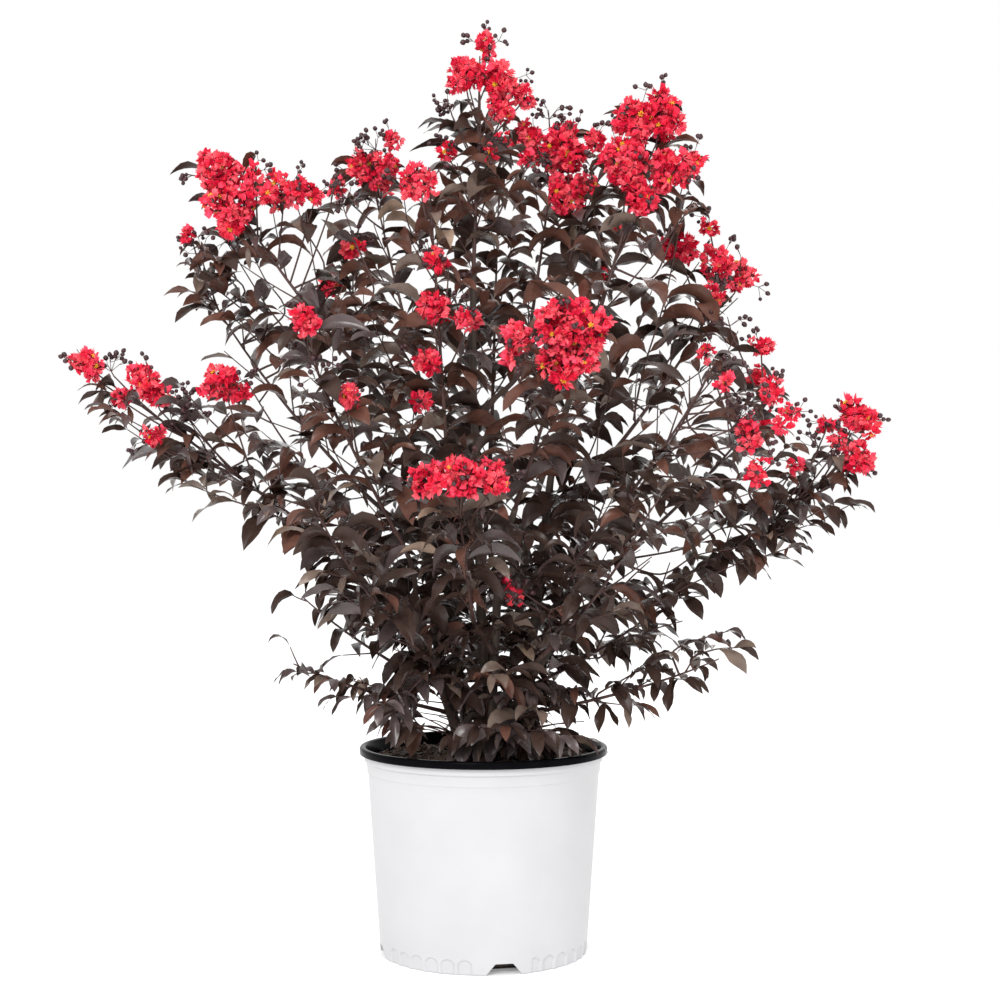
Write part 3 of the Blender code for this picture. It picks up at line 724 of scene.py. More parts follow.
def open_the_sky():
    """Drops leaves whose middle the camera sees in a sky window or in front of blossom, and side shoots
    that are left bare by that."""
    rows = np.array(GROWN.leaves)
    length, droop, shoots = rows[:, 6:7], rows[:, 7:8], rows[:, 15].astype(int)
    middle = rows[:, :3] + rows[:, 3:6] * length * 0.45 - UP * length * droop * 0.10
    x0, near, height = CAMERA_PLACE
    scale = -near / (middle[:, 1] - near)
    seen = np.stack((x0 + (middle[:, 0] - x0) * scale, height + (middle[:, 2] - height) * scale), axis=1)
    kept = np.ones(len(rows), bool)
    for row in SKY_WINDOWS:
        centre, sizes = np.array(row).reshape(2, 2) / PER_METRE
        kept &= (((seen - centre) / sizes) ** 2).sum(axis=1) > SKY_MARGIN**2
    for row in PANICLES:
        if row.open and "back" not in row.mass:
            depth = panicle_place(row)[0][1]
            sizes = np.array(row.size) * 0.8 + CLEAR_OF_BLOSSOM
            hides = (((seen - row.seen) / sizes) ** 2).sum(axis=1) < 1.0
            kept &= ~(hides & (middle[:, 1] < depth + 0.01))
    leafy = set(shoots[kept])
    GROWN.tubes = [tube for i, tube in enumerate(GROWN.tubes) if i in leafy or tube[3] == MAIN_SIDES]
    GROWN.leaves = [row for row, keep in zip(GROWN.leaves, kept) if keep]


# Blossom. Each panicle is placed by where it shows on the plane through the plant's middle, and grows from
# the middle line of its mass. size is its half width and half height, and open the share that is in flower.
# The rows give x, z, both halves, and open in tenths.

Panicle = namedtuple("Panicle", "mass seen size open")
PANICLES = [
    Panicle(mass, (x / PER_METRE, z / PER_METRE), (wide / PER_METRE, high / PER_METRE), tenths / 10)
    for mass, *rows in (
        ("crown_top", (5, 1024, 18, 20, 6), (14, 982, 30, 34, 10), (-22, 990, 26, 28, 9),
         (46, 966, 16, 14, 8), (22, 950, 20, 18, 8), (-41, 904, 15, 13, 6), (-38, 952, 10, 10, 0)),
        ("upper_left", (-298, 878, 32, 34, 10), (-288, 846, 36, 36, 10), (-286, 820, 17, 16, 9),
         (-226, 858, 30, 26, 9), (-190, 856, 18, 12, 7), (-172, 848, 18, 18, 0)),
        ("left_shoulder", (-331, 810, 8, 8, 8), (-320, 790, 22, 14, 0)),
        ("top_left", (-124, 884, 36, 29, 9), (-102, 918, 9, 15, 9), (-122, 908, 16, 14, 0)),
        ("front_upper_left", (-72, 868, 26, 24, 9)),
        ("top_left", (-148, 793, 18, 13, 7)),
        ("top_right", (90, 904, 34, 36, 9), (92, 856, 32, 28, 10), (56, 925, 20, 16, 8),
         (74, 942, 14, 12, 0), (100, 932, 10, 12, 8), (128, 916, 14, 15, 9), (120, 864, 18, 15, 8)),
        ("crown_top", (12, 900, 12, 12, 5), (52, 893, 12, 10, 6)),
        ("top_left", (-163, 862, 14, 14, 8)),
        ("upper_left", (-258, 880, 12, 12, 8)),
        ("right_arm", (434, 596, 17, 18, 10), (402, 574, 12, 13, 9)),
        ("upper_right", (172, 938, 30, 34, 10), (202, 940, 30, 34, 10), (160, 890, 36, 38, 10),
         (208, 884, 30, 32, 10), (234, 886, 16, 22, 9), (180, 850, 24, 20, 10)),
        ("right_shoulder", (256, 818, 12, 12, 9), (222, 794, 30, 22, 10), (264, 778, 28, 24, 9),
         (292, 760, 22, 24, 8), (260, 742, 14, 18, 8)),
        ("front_upper_left", (-54, 779, 12, 17, 9), (-58, 728, 20, 22, 9), (-16, 714, 20, 14, 8),
         (-40, 762, 16, 14, 0)),
        ("left_front", (-200, 714, 16, 20, 10), (-153, 626, 13, 16, 10), (-186, 648, 12, 12, 0)),
        ("front_upper_left", (-62, 664, 16, 24, 9), (-72, 622, 11, 13, 8)),
        ("front_upper_right", (30, 672, 12, 12, 7), (42, 696, 16, 20, 9), (88, 706, 34, 34, 10),
         (112, 696, 34, 40, 10), (92, 668, 40, 27, 10)),
        ("left_arm", (-450, 664, 17, 25, 10), (-378, 636, 20, 32, 10), (-376, 580, 17, 16, 9),
         (-292, 640, 31, 27, 9), (-410, 626, 10, 12, 6), (-422, 656, 12, 9, 0), (-342, 618, 14, 14, 0),
         (-330, 595, 12, 10, 0)),
        ("right_side", (252, 676, 9, 14, 8), (314, 684, 16, 14, 9), (278, 708, 14, 12, 0)),
        ("right_front", (276, 642, 9, 22, 6), (326, 632, 14, 17, 8), (342, 600, 12, 24, 8),
         (300, 582, 21, 19, 8), (310, 540, 16, 15, 7), (288, 598, 16, 16, 0)),
        ("right_arm", (352, 549, 9, 10, 10), (388, 592, 9, 9, 8), (420, 604, 21, 18, 10),
         (424, 556, 22, 22, 10), (380, 570, 14, 12, 0)),
        ("front_middle", (-62, 534, 24, 22, 9), (-24, 536, 26, 24, 9), (10, 532, 20, 22, 9)),
        ("front_low_right", (31, 416, 5, 5, 5), (36, 398, 7, 5, 5)),
        ("top_back", (24, 912, 30, 18, 9), (56, 900, 20, 18, 9)),
        ("back_upper_left", (-148, 793, 18, 15, 9), (-172, 752, 16, 14, 9), (-120, 876, 28, 26, 9)),
        ("back_upper_right", (178, 868, 34, 34, 9), (134, 762, 14, 12, 9), (156, 817, 12, 12, 9)),
        ("back_middle", (-45, 722, 28, 26, 9), (85, 694, 34, 32, 9), (-20, 536, 32, 24, 9)),
        ("back_left", (-294, 636, 22, 18, 9), (-192, 716, 18, 18, 9)),
        ("back_right", (310, 646, 20, 20, 9), (310, 592, 24, 24, 9)),
    )
    for x, z, wide, high, tenths in rows
]

# Masses behind the plant's middle flower too, mostly where blossom in front hides it from the camera.
REAR_SET_BACK = 0.012
REAR_LIMIT = 0.322  # greatest depth of a panicle's middle
FRONT_SET = 0.018
CLEAR_OF_BLOSSOM = 0.005


def grow_floret(centre, facing, size, tint, rng):
    GROWN.florets.append((*centre, *facing, size, rng.uniform(0, 2 * math.pi), tint))


def grow_panicle(centre, size, stem_start, way, opened, rng, leafy):
    """A lumpy cluster of crinkled florets round a short stalk, with round buds in open sprays beyond them."""
    width, height = size
    base = centre - way * height * 0.85
    bend = (stem_start + base) / 2 - way * 0.008
    s = np.linspace(0.0, 1.0, 6)[:, None]
    stalk_path = bezier(stem_start, bend, base, s)
    GROWN.tube(stalk_path, 0.0012, 0.0009, 5)
    if leafy:
        leaves_along(stalk_path, rng, UPPER_HABIT, tint_shares(base, rng), 0.85)
    GROWN.tube(np.array((base, centre, centre + way * height * 0.7)), 0.0009, 0.0005, 4)
    side = unit(np.cross(way, (0.3, 1.0, 0.2)))
    axes = np.array((side * width, np.cross(way, side) * width, way * height))
    count = round(opened * FLORET_CROWDING * width * height / (FLORET_SPACING * FLORET_RADIUS) ** 2)
    lobes = max(1, round(LOBE_CROWDING * width * height / LOBE_RADIUS**2)) if opened else 0
    lobe_radius = min(LOBE_RADIUS, 0.55 * min(width, height))
    margin = lobe_radius * 0.8 + FLORET_RADIUS * 0.5
    sizes = np.array((width, width, height))
    inner = axes * (np.maximum(sizes - margin, 0.001) / sizes)[:, None]
    for k in range(lobes):
        level = 1 - 2 * (k + 0.5) / lobes if lobes > 1 else 0.0
        ring = math.sqrt(1 - level**2)
        angle = k * GOLDEN_ANGLE + rng.normal(0, 0.3)
        outward = np.array((ring * math.cos(angle), ring * math.sin(angle), level))
        out_way = unit(outward @ axes)
        middle = centre + outward @ inner * rng.uniform(0.55, 1.0) * (lobes > 1)
        stalk = centre + way * height * (level * 0.4 - 0.3)
        GROWN.tube(np.array((stalk, middle)), 0.0007, 0.0005, 4)
        for _ in range(max(1, round(count / lobes + rng.uniform(-1.2, 1.2)))):
            turn = unit(rng.normal(0, 1, 3) + out_way * 0.55)
            point = middle + turn * lobe_radius * rng.uniform(0.45, 1.0)
            facing = unit(turn + out_way * 0.3 + rng.normal(0, 0.25, 3))
            GROWN.tube(np.array((middle, point - facing * 0.003)), 0.0005, 0.0004, 3)
            radius = FLORET_RADIUS * rng.uniform(*FLORET_SIZES)
            tint = rng.choice(len(PETAL_SHARES), p=PETAL_SHARES)
            grow_floret(point, facing, radius, tint, rng)
    for _ in range(round(0.4 + 5 * (1.1 - opened) + 24 * width)):
        level = rng.uniform(-0.2, 1.0)
        ring = math.sqrt(max(0.0, 1 - level**2))
        angle = rng.uniform(0, 2 * math.pi)
        local = np.array((ring * math.cos(angle), ring * math.sin(angle), level))
        out = unit(local @ axes)
        knot = centre + local @ axes * rng.uniform(0.9, 1.2)
        GROWN.tube(np.array((centre - way * height * 0.2, knot)), 0.0005, 0.0004, 3)
        for _ in range(rng.integers(2, 5)):
            tip = knot + unit(out + rng.normal(0, 0.6, 3)) * rng.uniform(0.006, 0.015)
            GROWN.tube(np.array((knot, tip)), 0.0004, 0.00035, 3)
            GROWN.buds.append((*tip, *unit(tip - knot), BUD_RADIUS * rng.uniform(0.75, 1.15)))
    for _ in range(rng.integers(0, 3)):
        direction = unit(rng.normal(0, 1, 3) - way * 0.6)
        origin = base - way * height * rng.uniform(0.1, 0.6)
        length = rng.uniform(0.018, 0.030)
        GROWN.leaf(origin, direction, length, 0.9, rng.choice(len(STALK_SHARES), p=STALK_SHARES), rng)


def panicle_place(row):
    """A panicle's centre, and where its stalk starts on the middle line of its mass."""
    mass = MASSES[row.mass]
    shares = np.linspace(0.25, 1.0, 31)
    line = np.array([mass.at(t) for t in shares])
    where = np.array([seen_at(*row.seen, point[1]) for point in line])
    nearest = int(np.argmin(np.linalg.norm(where - line, axis=1)))
    behind = line[nearest][1] > 0.02
    shift = REAR_SET_BACK if "back" in row.mass else -FRONT_SET * (1 + behind)
    centre = seen_at(*row.seen, min(REAR_LIMIT, line[nearest][1] + shift))
    return centre, mass.at(max(0.2, shares[nearest] - 0.22))


def grow_seen_panicle(index, row):
    rng = generator(3, index)
    centre, start = panicle_place(row)
    way = unit(unit(centre - start) + UP * 0.6)
    grow_panicle(centre, row.size, start, way, row.open, rng, "back" in row.mass)


# Meshes of what grew


def tube_mesh(points, start_radius, end_radius, sides):
    """A tapering tube with a point at its end."""
    tangents, first, second = line_frames(points)
    radii = np.linspace(start_radius, end_radius, len(points))[:, None, None]
    angles = 2 * math.pi * np.arange(sides) / sides
    cosines = np.cos(angles)[None, :, None]
    sines = np.sin(angles)[None, :, None]
    ring = cosines * first[:, None, :] + sines * second[:, None, :]
    verts = (points[:, None, :] + radii * ring).reshape(-1, 3)
    faces = strip_faces(len(points), sides, closed=True)
    tip = len(verts)
    last = tip - sides
    cap = [(last + i, last + (i + 1) % sides, tip) for i in range(sides)]
    return np.vstack((verts, points[-1] + tangents[-1] * end_radius)), np.vstack((faces, cap))


def leaf_meshes(rows):
    """Vertices and triangles of the leaves in rows, each folded along its rib, wavy and arched over."""
    rows = np.array(rows)
    n = len(rows)
    origin, start, length, droop = rows[:, 0:3], rows[:, 3:6], rows[:, 6], rows[:, 7]
    chance = rows[:, 9:15]
    stations = np.array(LEAF_STATIONS)
    widths = np.array(LEAF_WIDTHS)
    across = np.array(LEAF_ACROSS)
    bend = np.clip(1.75 - 0.25 * droop, 0.85, 1.4)
    fall = droop[:, None] * stations[None, :] ** bend[:, None]
    sideways = unit(np.cross(start, UP + 0.02 * start[:, ::-1] + 0.001))
    curl = (chance[:, 5, None] - 0.5) * 1.3 * stations[None, :]
    way = unit(start[:, None, :] - fall[:, :, None] * UP + curl[:, :, None] * sideways[:, None, :])
    middle = (way[:, 1:] + way[:, :-1]) / 2 * np.diff(stations)[None, :, None]
    rib = np.concatenate((np.zeros((n, 1, 3)), np.cumsum(middle, axis=1)), axis=1) * length[:, None, None]
    rib = rib + origin[:, None, :]
    roll = (chance[:, 0] - 0.5) * LEAF_ROLL
    twist = (chance[:, 1] - 0.5) * 1.0
    normal = np.cross(sideways[:, None, :], way)
    turn = (roll[:, None] + twist[:, None] * stations[None, :])[:, :, None]
    blade = sideways[:, None, :] * np.cos(turn) + normal * np.sin(turn)
    face = np.cross(blade, way)
    half = (LEAF_HALF_WIDTH + DROOP_WIDENS * droop) * (0.85 + 0.30 * chance[:, 2]) * length
    reach = half[:, None, None] * widths[None, :, None] * across[None, None, :]
    fold = 0.95 * chance[:, 3] - 0.15
    phase = chance[:, 4, None, None] * 6.283
    wave = np.sin(stations[None, :, None] * 9.0 + phase + across[None, None, :] * 1.9)
    edge = np.abs(across)[None, None, :]
    crease = fold[:, None, None] * edge + 0.24 * wave * edge**2
    lift = half[:, None, None] * widths[None, :, None] * crease
    spread = blade[:, :, None, :] * reach[..., None]
    verts = rib[:, :, None, :] + spread + face[:, :, None, :] * lift[..., None]
    columns = len(across)
    grid = verts[:, :-1].reshape(n, -1, 3)
    verts = np.concatenate((grid, rib[:, -1:, :]), axis=1)
    faces = strip_faces(len(stations) - 1, columns)
    tip = (len(stations) - 1) * columns
    ending = [(tip - columns + c, tip - columns + c + 1, tip) for c in range(columns - 1)]
    faces = np.vstack((faces, ending))
    shift = np.arange(n)[:, None, None] * (tip + 1)
    return verts.reshape(-1, 3), (faces[None] + shift).reshape(-1, 3)


def petal_kind(kind):
    """A petal of a floret of radius 1 that faces +Z: a thin claw along +X, then a frilled blade."""
    rng = generator(5, kind)
    across = np.linspace(-1.0, 1.0, PETAL_COLUMNS)
    rise = rng.uniform(-0.20, 0.85)
    size = rng.uniform(0.78, 1.12)
    tilt = rng.normal(0, 0.55)
    verts = []
    for out in PETAL_CLAW:
        for side in (-1, 1):
            verts.append((out * size, side * PETAL_CLAW_WIDTH, 0.06 + rise * out - 0.3 * out**3))
    faces = [np.array(((0, 1, 3), (0, 3, 2))), strip_faces(len(PETAL_ROWS), PETAL_COLUMNS) + len(verts)]
    for out, half, frill, fringe in zip(PETAL_ROWS, PETAL_WIDTHS, PETAL_FRILL, PETAL_FRINGE):
        for column, x in enumerate(across):
            ripple = (-1) ** column
            radial = out * size - 0.14 * x * x + CRINKLE * frill * rng.normal(0, 0.5) + fringe * ripple
            sidewise = half * x * size * (1 - 0.25 * abs(tilt)) + CRINKLE * frill * rng.normal(0, 0.3)
            fold = CRINKLE * frill * (ripple + rng.normal(0, 0.7))
            verts.append((radial, sidewise, 0.06 + rise * out - 0.34 * out**3 + fold + tilt * half * x))
    return np.array(verts), np.vstack(faces)


def stamen_kind():
    """A tuft of stamens on a floret of radius 1: thin blades that end in anthers."""
    rng = generator(6)
    verts = []
    faces = []
    corners = np.array(((1, 0, 0), (-1, 0, 0), (0, 1, 0), (0, -1, 0), (0, 0, 1), (0, 0, -1)), float)
    sides = [(0, 2, 4), (2, 1, 4), (1, 3, 4), (3, 0, 4), (2, 0, 5), (1, 2, 5), (3, 1, 5), (0, 3, 5)]
    for k in range(STAMEN_COUNT):
        angle = k * GOLDEN_ANGLE
        lean = 0.26 * math.sqrt((k + 0.5) / STAMEN_COUNT)
        tip = np.array((lean * math.cos(angle), lean * math.sin(angle), rng.uniform(0.22, 0.36)))
        start = len(verts)
        square = 0.018 * np.array((-math.sin(angle), math.cos(angle), 0.0))
        verts += [square, -square, tip - square, tip + square]
        faces += [(start, start + 1, start + 2), (start, start + 2, start + 3)]
        verts += list(tip + corners * 0.078)
        faces += [tuple(start + 4 + c for c in side) for side in sides]
    return np.array(verts), np.array(faces)


def ball(sides, rings):
    """A round bud of radius 1, with a small point on top."""
    verts = [(0.0, 0.0, -1.0)]
    for r in range(1, rings):
        polar = math.pi * r / rings
        for s in range(sides):
            angle = 2 * math.pi * s / sides
            radius = math.sin(polar)
            verts.append((radius * math.cos(angle), radius * math.sin(angle), -math.cos(polar)))
    verts.append((0.0, 0.0, 1.18))
    top = len(verts) - 1
    faces = [(0, 1 + (s + 1) % sides, 1 + s) for s in range(sides)]
    faces += (strip_faces(rings - 1, sides, closed=True) + 1).tolist()
    faces += [(top - sides + s, top - sides + (s + 1) % sides, top) for s in range(sides)]
    return np.array(verts), np.array(faces)


def calyx_kind():
    """The dark cup behind a floret of radius 1."""
    sides = 6
    angles = 2 * math.pi * np.arange(sides) / sides
    rings = [(0.05, -0.20), (0.15, -0.05), (0.19, 0.12)]
    verts = [(r * math.cos(a), r * math.sin(a), z) for r, z in rings for a in angles]
    return np.array(verts), strip_faces(len(rings), sides, closed=True)


def turned_copies(shape, places, facings, sizes, turns):
    """Copies of a shape, each turned so that its +Z is along its facing."""
    verts, faces = shape
    facings = unit(np.asarray(facings))
    side = unit(np.cross(facings, (0.23, 0.61, 0.76)))
    other = np.cross(facings, side)
    turns = np.asarray(turns)[:, None]
    x_axis = side * np.cos(turns) + other * np.sin(turns)
    y_axis = np.cross(facings, x_axis)
    axes = np.stack((x_axis, y_axis, facings), axis=1) * np.asarray(sizes)[:, None, None]
    moved = np.einsum("vk,nkc->nvc", verts, axes) + np.asarray(places)[:, None, :]
    shift = np.arange(len(places))[:, None, None] * len(verts)
    return moved.reshape(-1, 3), (faces[None] + shift).reshape(-1, 3)


# Grow the plant

for number, mass_name in enumerate(sorted(MASSES)):
    grow_mass(number, mass_name, MASSES[mass_name])
for number, limb_name in enumerate(sorted(LIMBS)):
    grow_spurs(number, limb_name)
for number, (foot_bearing, foot_reach, foot_height) in enumerate(FOOT_SHOOTS):
    grow_foot_shoot(number, foot_bearing, foot_reach / PER_METRE, foot_height / PER_METRE)
for number, whip_row in enumerate(WHIPS):
    grow_whip(number, whip_row)
open_the_sky()
for number, panicle_row in enumerate(PANICLES):
    grow_seen_panicle(number, panicle_row)


def leaf_pieces():
    for tint, (name, colour) in enumerate(LEAF_TINTS.items()):
        rows = [row for row in GROWN.leaves if int(row[8]) == tint]
        two = shade(colour, 0.82), shade(colour, 1.25)
        finish = material(name, *two, 0.27, 55.0, 0.0002, 420.0, specular=LEAF_GLOSS[tint])
        add_piece(name, *leaf_meshes(rows), finish, "foliage", MASS_NODES)


def floret_pieces():
    florets = np.array(GROWN.florets)
    kinds = [petal_kind(kind) for kind in range(PETAL_KINDS)]
    rng = generator(11)
    petals = np.repeat(florets, PETAL_COUNT, axis=0)
    number = np.tile(np.arange(PETAL_COUNT), len(florets))
    uneven = rng.uniform(-PETAL_TURN, PETAL_TURN, len(petals))
    turns = petals[:, 7] + 2 * math.pi * (number + uneven) / PETAL_COUNT
    shapes = rng.integers(PETAL_KINDS, size=len(petals))
    dealt = rng.choice(len(PETAL_TINTS), size=len(petals), p=PETAL_SHARES)
    tints = np.where(rng.random(len(petals)) < OWN_TINT, petals[:, 8], dealt)
    for tint, (name, colour) in enumerate(PETAL_TINTS.items()):
        heap = Heap()
        for kind in range(PETAL_KINDS):
            chosen = (tints == tint) & (shapes == kind)
            if chosen.any():
                rows = petals[chosen]
                heap.add(*turned_copies(kinds[kind], rows[:, :3], rows[:, 3:6], rows[:, 6], turns[chosen]))
        two = shade(colour, 0.90), shade(colour, 1.12)
        finish = material(name, *two, 0.60, 160.0, 0.0002, 700.0, specular=0.2)
        heap.piece(name, finish, "petals").data.shade_flat()
    rng = generator(7)
    tufted = florets[rng.random(len(florets)) < TUFTED_SHARE]
    gold = material(
        "stamens", (0.84, 0.42, 0.02), (0.92, 0.56, 0.05), 0.6, 300.0, 0.0001, 900.0, specular=0.3
    )
    heap = Heap()
    heap.add(*turned_copies(stamen_kind(), tufted[:, :3], tufted[:, 3:6], tufted[:, 6], tufted[:, 7]))
    heap.piece("stamens", gold, "stamens")


def bud_piece():
    buds = np.array(GROWN.buds)
    florets = np.array(GROWN.florets)
    heap = Heap()
    heap.add(*turned_copies(ball(6, 5), buds[:, :3], buds[:, 3:6], buds[:, 6], buds[:, 6] * 1e4))
    heap.add(*turned_copies(calyx_kind(), florets[:, :3], florets[:, 3:6], florets[:, 6], florets[:, 7]))
    finish = material("buds", (0.022, 0.007, 0.009), (0.060, 0.012, 0.016), 0.42, 240.0, 0.0002, 800.0)
    heap.piece("buds", finish, "buds")


def twig_piece():
    heap = Heap()
    for row in GROWN.tubes:
        heap.add(*tube_mesh(*row))
    finish = material(
        "twigs", (0.042, 0.017, 0.015), (0.080, 0.034, 0.027), 0.55, 90.0, 0.0003, 500.0, stretch=(1, 1, 0.3)
    )
    heap.piece("twigs", finish, "young_bark")


# Bark


def bark_tube(line, seed):
    """A limb's tube with long ridges and flat flakes, closed at both ends."""
    points, radii = line[:, :3], line[:, 3]
    _, first, second = line_frames(points)
    verts = []
    for i, point in enumerate(points):
        for s in range(LIMB_SIDES):
            angle = 2 * math.pi * s / LIMB_SIDES
            out = first[i] * math.cos(angle) + second[i] * math.sin(angle)
            spot = Vector((math.cos(angle) * 1.6, math.sin(angle) * 1.6, i * LIMB_STEP * 22 + seed * 7.0))
            relief = 1 + BARK_RELIEF * 2 * noise.noise(spot) + BARK_RELIEF * noise.noise(spot * 3.1)
            verts.append(point + out * radii[i] * relief)
    faces = strip_faces(len(points), LIMB_SIDES, closed=True)
    verts += [points[0], points[-1]]
    foot, end = len(verts) - 2, len(verts) - 1
    last = foot - LIMB_SIDES
    caps = [((s + 1) % LIMB_SIDES, s, foot) for s in range(LIMB_SIDES)]
    caps += [(last + s, last + (s + 1) % LIMB_SIDES, end) for s in range(LIMB_SIDES)]
    return np.array(verts), np.vstack((faces, caps))


def wood_pieces():
    bark = material(
        "bark", (0.034, 0.023, 0.018), (0.092, 0.063, 0.047), 0.76, 60.0, 0.0006, 260.0, (1, 1, 0.25)
    )
    young = material(
        "young_bark", (0.034, 0.017, 0.014), (0.075, 0.042, 0.031), 0.7, 60.0, 0.0004, 300.0, (1, 1, 0.3)
    )
    for number, name in enumerate(STEM_NODES):
        add_piece(name + "_bark", *bark_tube(LIMBS[name], number), bark, "bark", (name,))
    for number, name in enumerate(BOUGH_NODES):
        add_piece(name + "_bark", *bark_tube(LIMBS[name], 20 + number), young, "young_bark", (name,))
    rugged_copy("stool_bark", "stool", 0.0016, 0.0022, 110.0, bark)


def rugged_copy(name, node, voxel, relief, scale, finish):
    """A CAD node's mesh, remeshed finely and pushed in and out by noise."""
    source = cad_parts[node].data
    bm = bmesh.new()
    bm.from_mesh(source)
    bmesh.ops.remove_doubles(bm, verts=bm.verts, dist=1e-5)
    mesh = bpy.data.meshes.new(name)
    bm.to_mesh(mesh)
    bm.free()
    made = placed(name, mesh)
    remesh = made.modifiers.new("remesh", "REMESH")
    remesh.mode = "VOXEL"
    remesh.voxel_size = voxel
    finished = modified_mesh(made)
    bpy.data.objects.remove(made)
    normals = [v.normal.copy() for v in finished.vertices]
    for vertex, normal in zip(finished.vertices, normals):
        spot = vertex.co * scale
        vertex.co += normal * relief * (noise.noise(spot) + 0.5 * noise.noise(spot * 2.7))
    finished.materials.clear()
    finished.materials.append(finish)
    finished.shade_smooth()
    made = placed(name, finished)
    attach(made, "root")
    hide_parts(node)
    return made


# Pot and soil


def wall_radius(height):
    return FOOT_RADIUS + (BAND_RADII[0] - FOOT_RADIUS) * height / BAND_HEIGHT


def notch_distance(angle):
    """Arc length along the foot from this bearing to the middle of the nearest notch."""
    pitch = 2 * math.pi / NOTCH_COUNT
    offset = (angle - math.radians(NOTCH_BEARING) + pitch / 2) % pitch - pitch / 2
    return abs(offset) * FOOT_RADIUS


def flute_depth(angle, height):
    """Depth of the recess at a bearing and height: round-topped, with plain wall beside the notches."""
    if notch_distance(angle) < NOTCH_WIDTHS[0] / 2 + NOTCH_MARGIN:
        return 0.0
    pitch = 2 * math.pi / FLUTE_COUNT
    across = abs((angle % pitch) / pitch - 0.5) * 2 / FLUTE_SHARE
    half = FLUTE_SHARE * pitch * FOOT_RADIUS / 2
    top = FLUTE_HEIGHT - half + half * math.sqrt(max(0.0, 1 - across**2))
    if across >= 1:
        return 0.0
    edge = min(1.0, (1 - across) * 6.0, (top - height) / 0.0010)
    edge = max(0.0, edge)
    return FLUTE_DEPTH * edge * edge * (3 - 2 * edge)


def turned_piece(name, profile, sides, finish, slot, nodes=(), dent=None):
    """A closed profile of (radius, height) turned round Z. dent(angle, height) draws the surface in."""
    profile = np.asarray(profile)
    angles = 2 * math.pi * np.arange(sides) / sides
    verts = np.zeros((len(profile), sides, 3))
    for r, (radius, height) in enumerate(profile):
        for s, angle in enumerate(angles):
            inset = dent(r, angle, height) if dent else 0.0
            verts[r, s] = ((radius - inset) * math.cos(angle), (radius - inset) * math.sin(angle), height)
    rows = len(profile)
    faces = strip_faces(rows, sides, closed=True)
    return add_piece(name, verts.reshape(-1, 3), faces, finish, slot, nodes)


def arc(centre, radius, start, stop, steps):
    angles = np.radians(np.linspace(start, stop, steps + 1))
    return [(centre[0] + radius * math.cos(a), centre[1] + radius * math.sin(a)) for a in angles]


def notch_cutter(n):
    """A wedge with a rounded trapezium's front."""
    low, high = NOTCH_WIDTHS[0] / 2, NOTCH_WIDTHS[1] / 2
    slope = math.degrees(math.atan2(NOTCH_HEIGHT - NOTCH_CHEEK, low - high))
    right = [(low, -NOTCH_CHEEK), (low, NOTCH_CHEEK * 0.4)]
    inner = (high - NOTCH_ROUND * 0.6, NOTCH_HEIGHT - NOTCH_ROUND)
    right += arc(inner, NOTCH_ROUND, 90 - slope, 90, 5)
    outline = right + [(-x, z) for x, z in reversed(right)]
    bm = bmesh.new()
    near = [bm.verts.new((FOOT_RADIUS - NOTCH_REACH, y, z)) for y, z in outline]
    far = [bm.verts.new((FOOT_RADIUS + NOTCH_REACH, y, z)) for y, z in outline]
    bm.faces.new(near)
    bm.faces.new(far)
    for i in range(len(outline)):
        j = (i + 1) % len(outline)
        bm.faces.new([near[i], near[j], far[j], far[i]])
    bmesh.ops.recalc_face_normals(bm, faces=bm.faces)
    bm.transform(Matrix.Rotation(math.radians(NOTCH_BEARING + 360 * n / NOTCH_COUNT), 4, "Z"))
    mesh = bpy.data.meshes.new("notch")
    bm.to_mesh(mesh)
    bm.free()
    made = placed("notch", mesh)
    return made


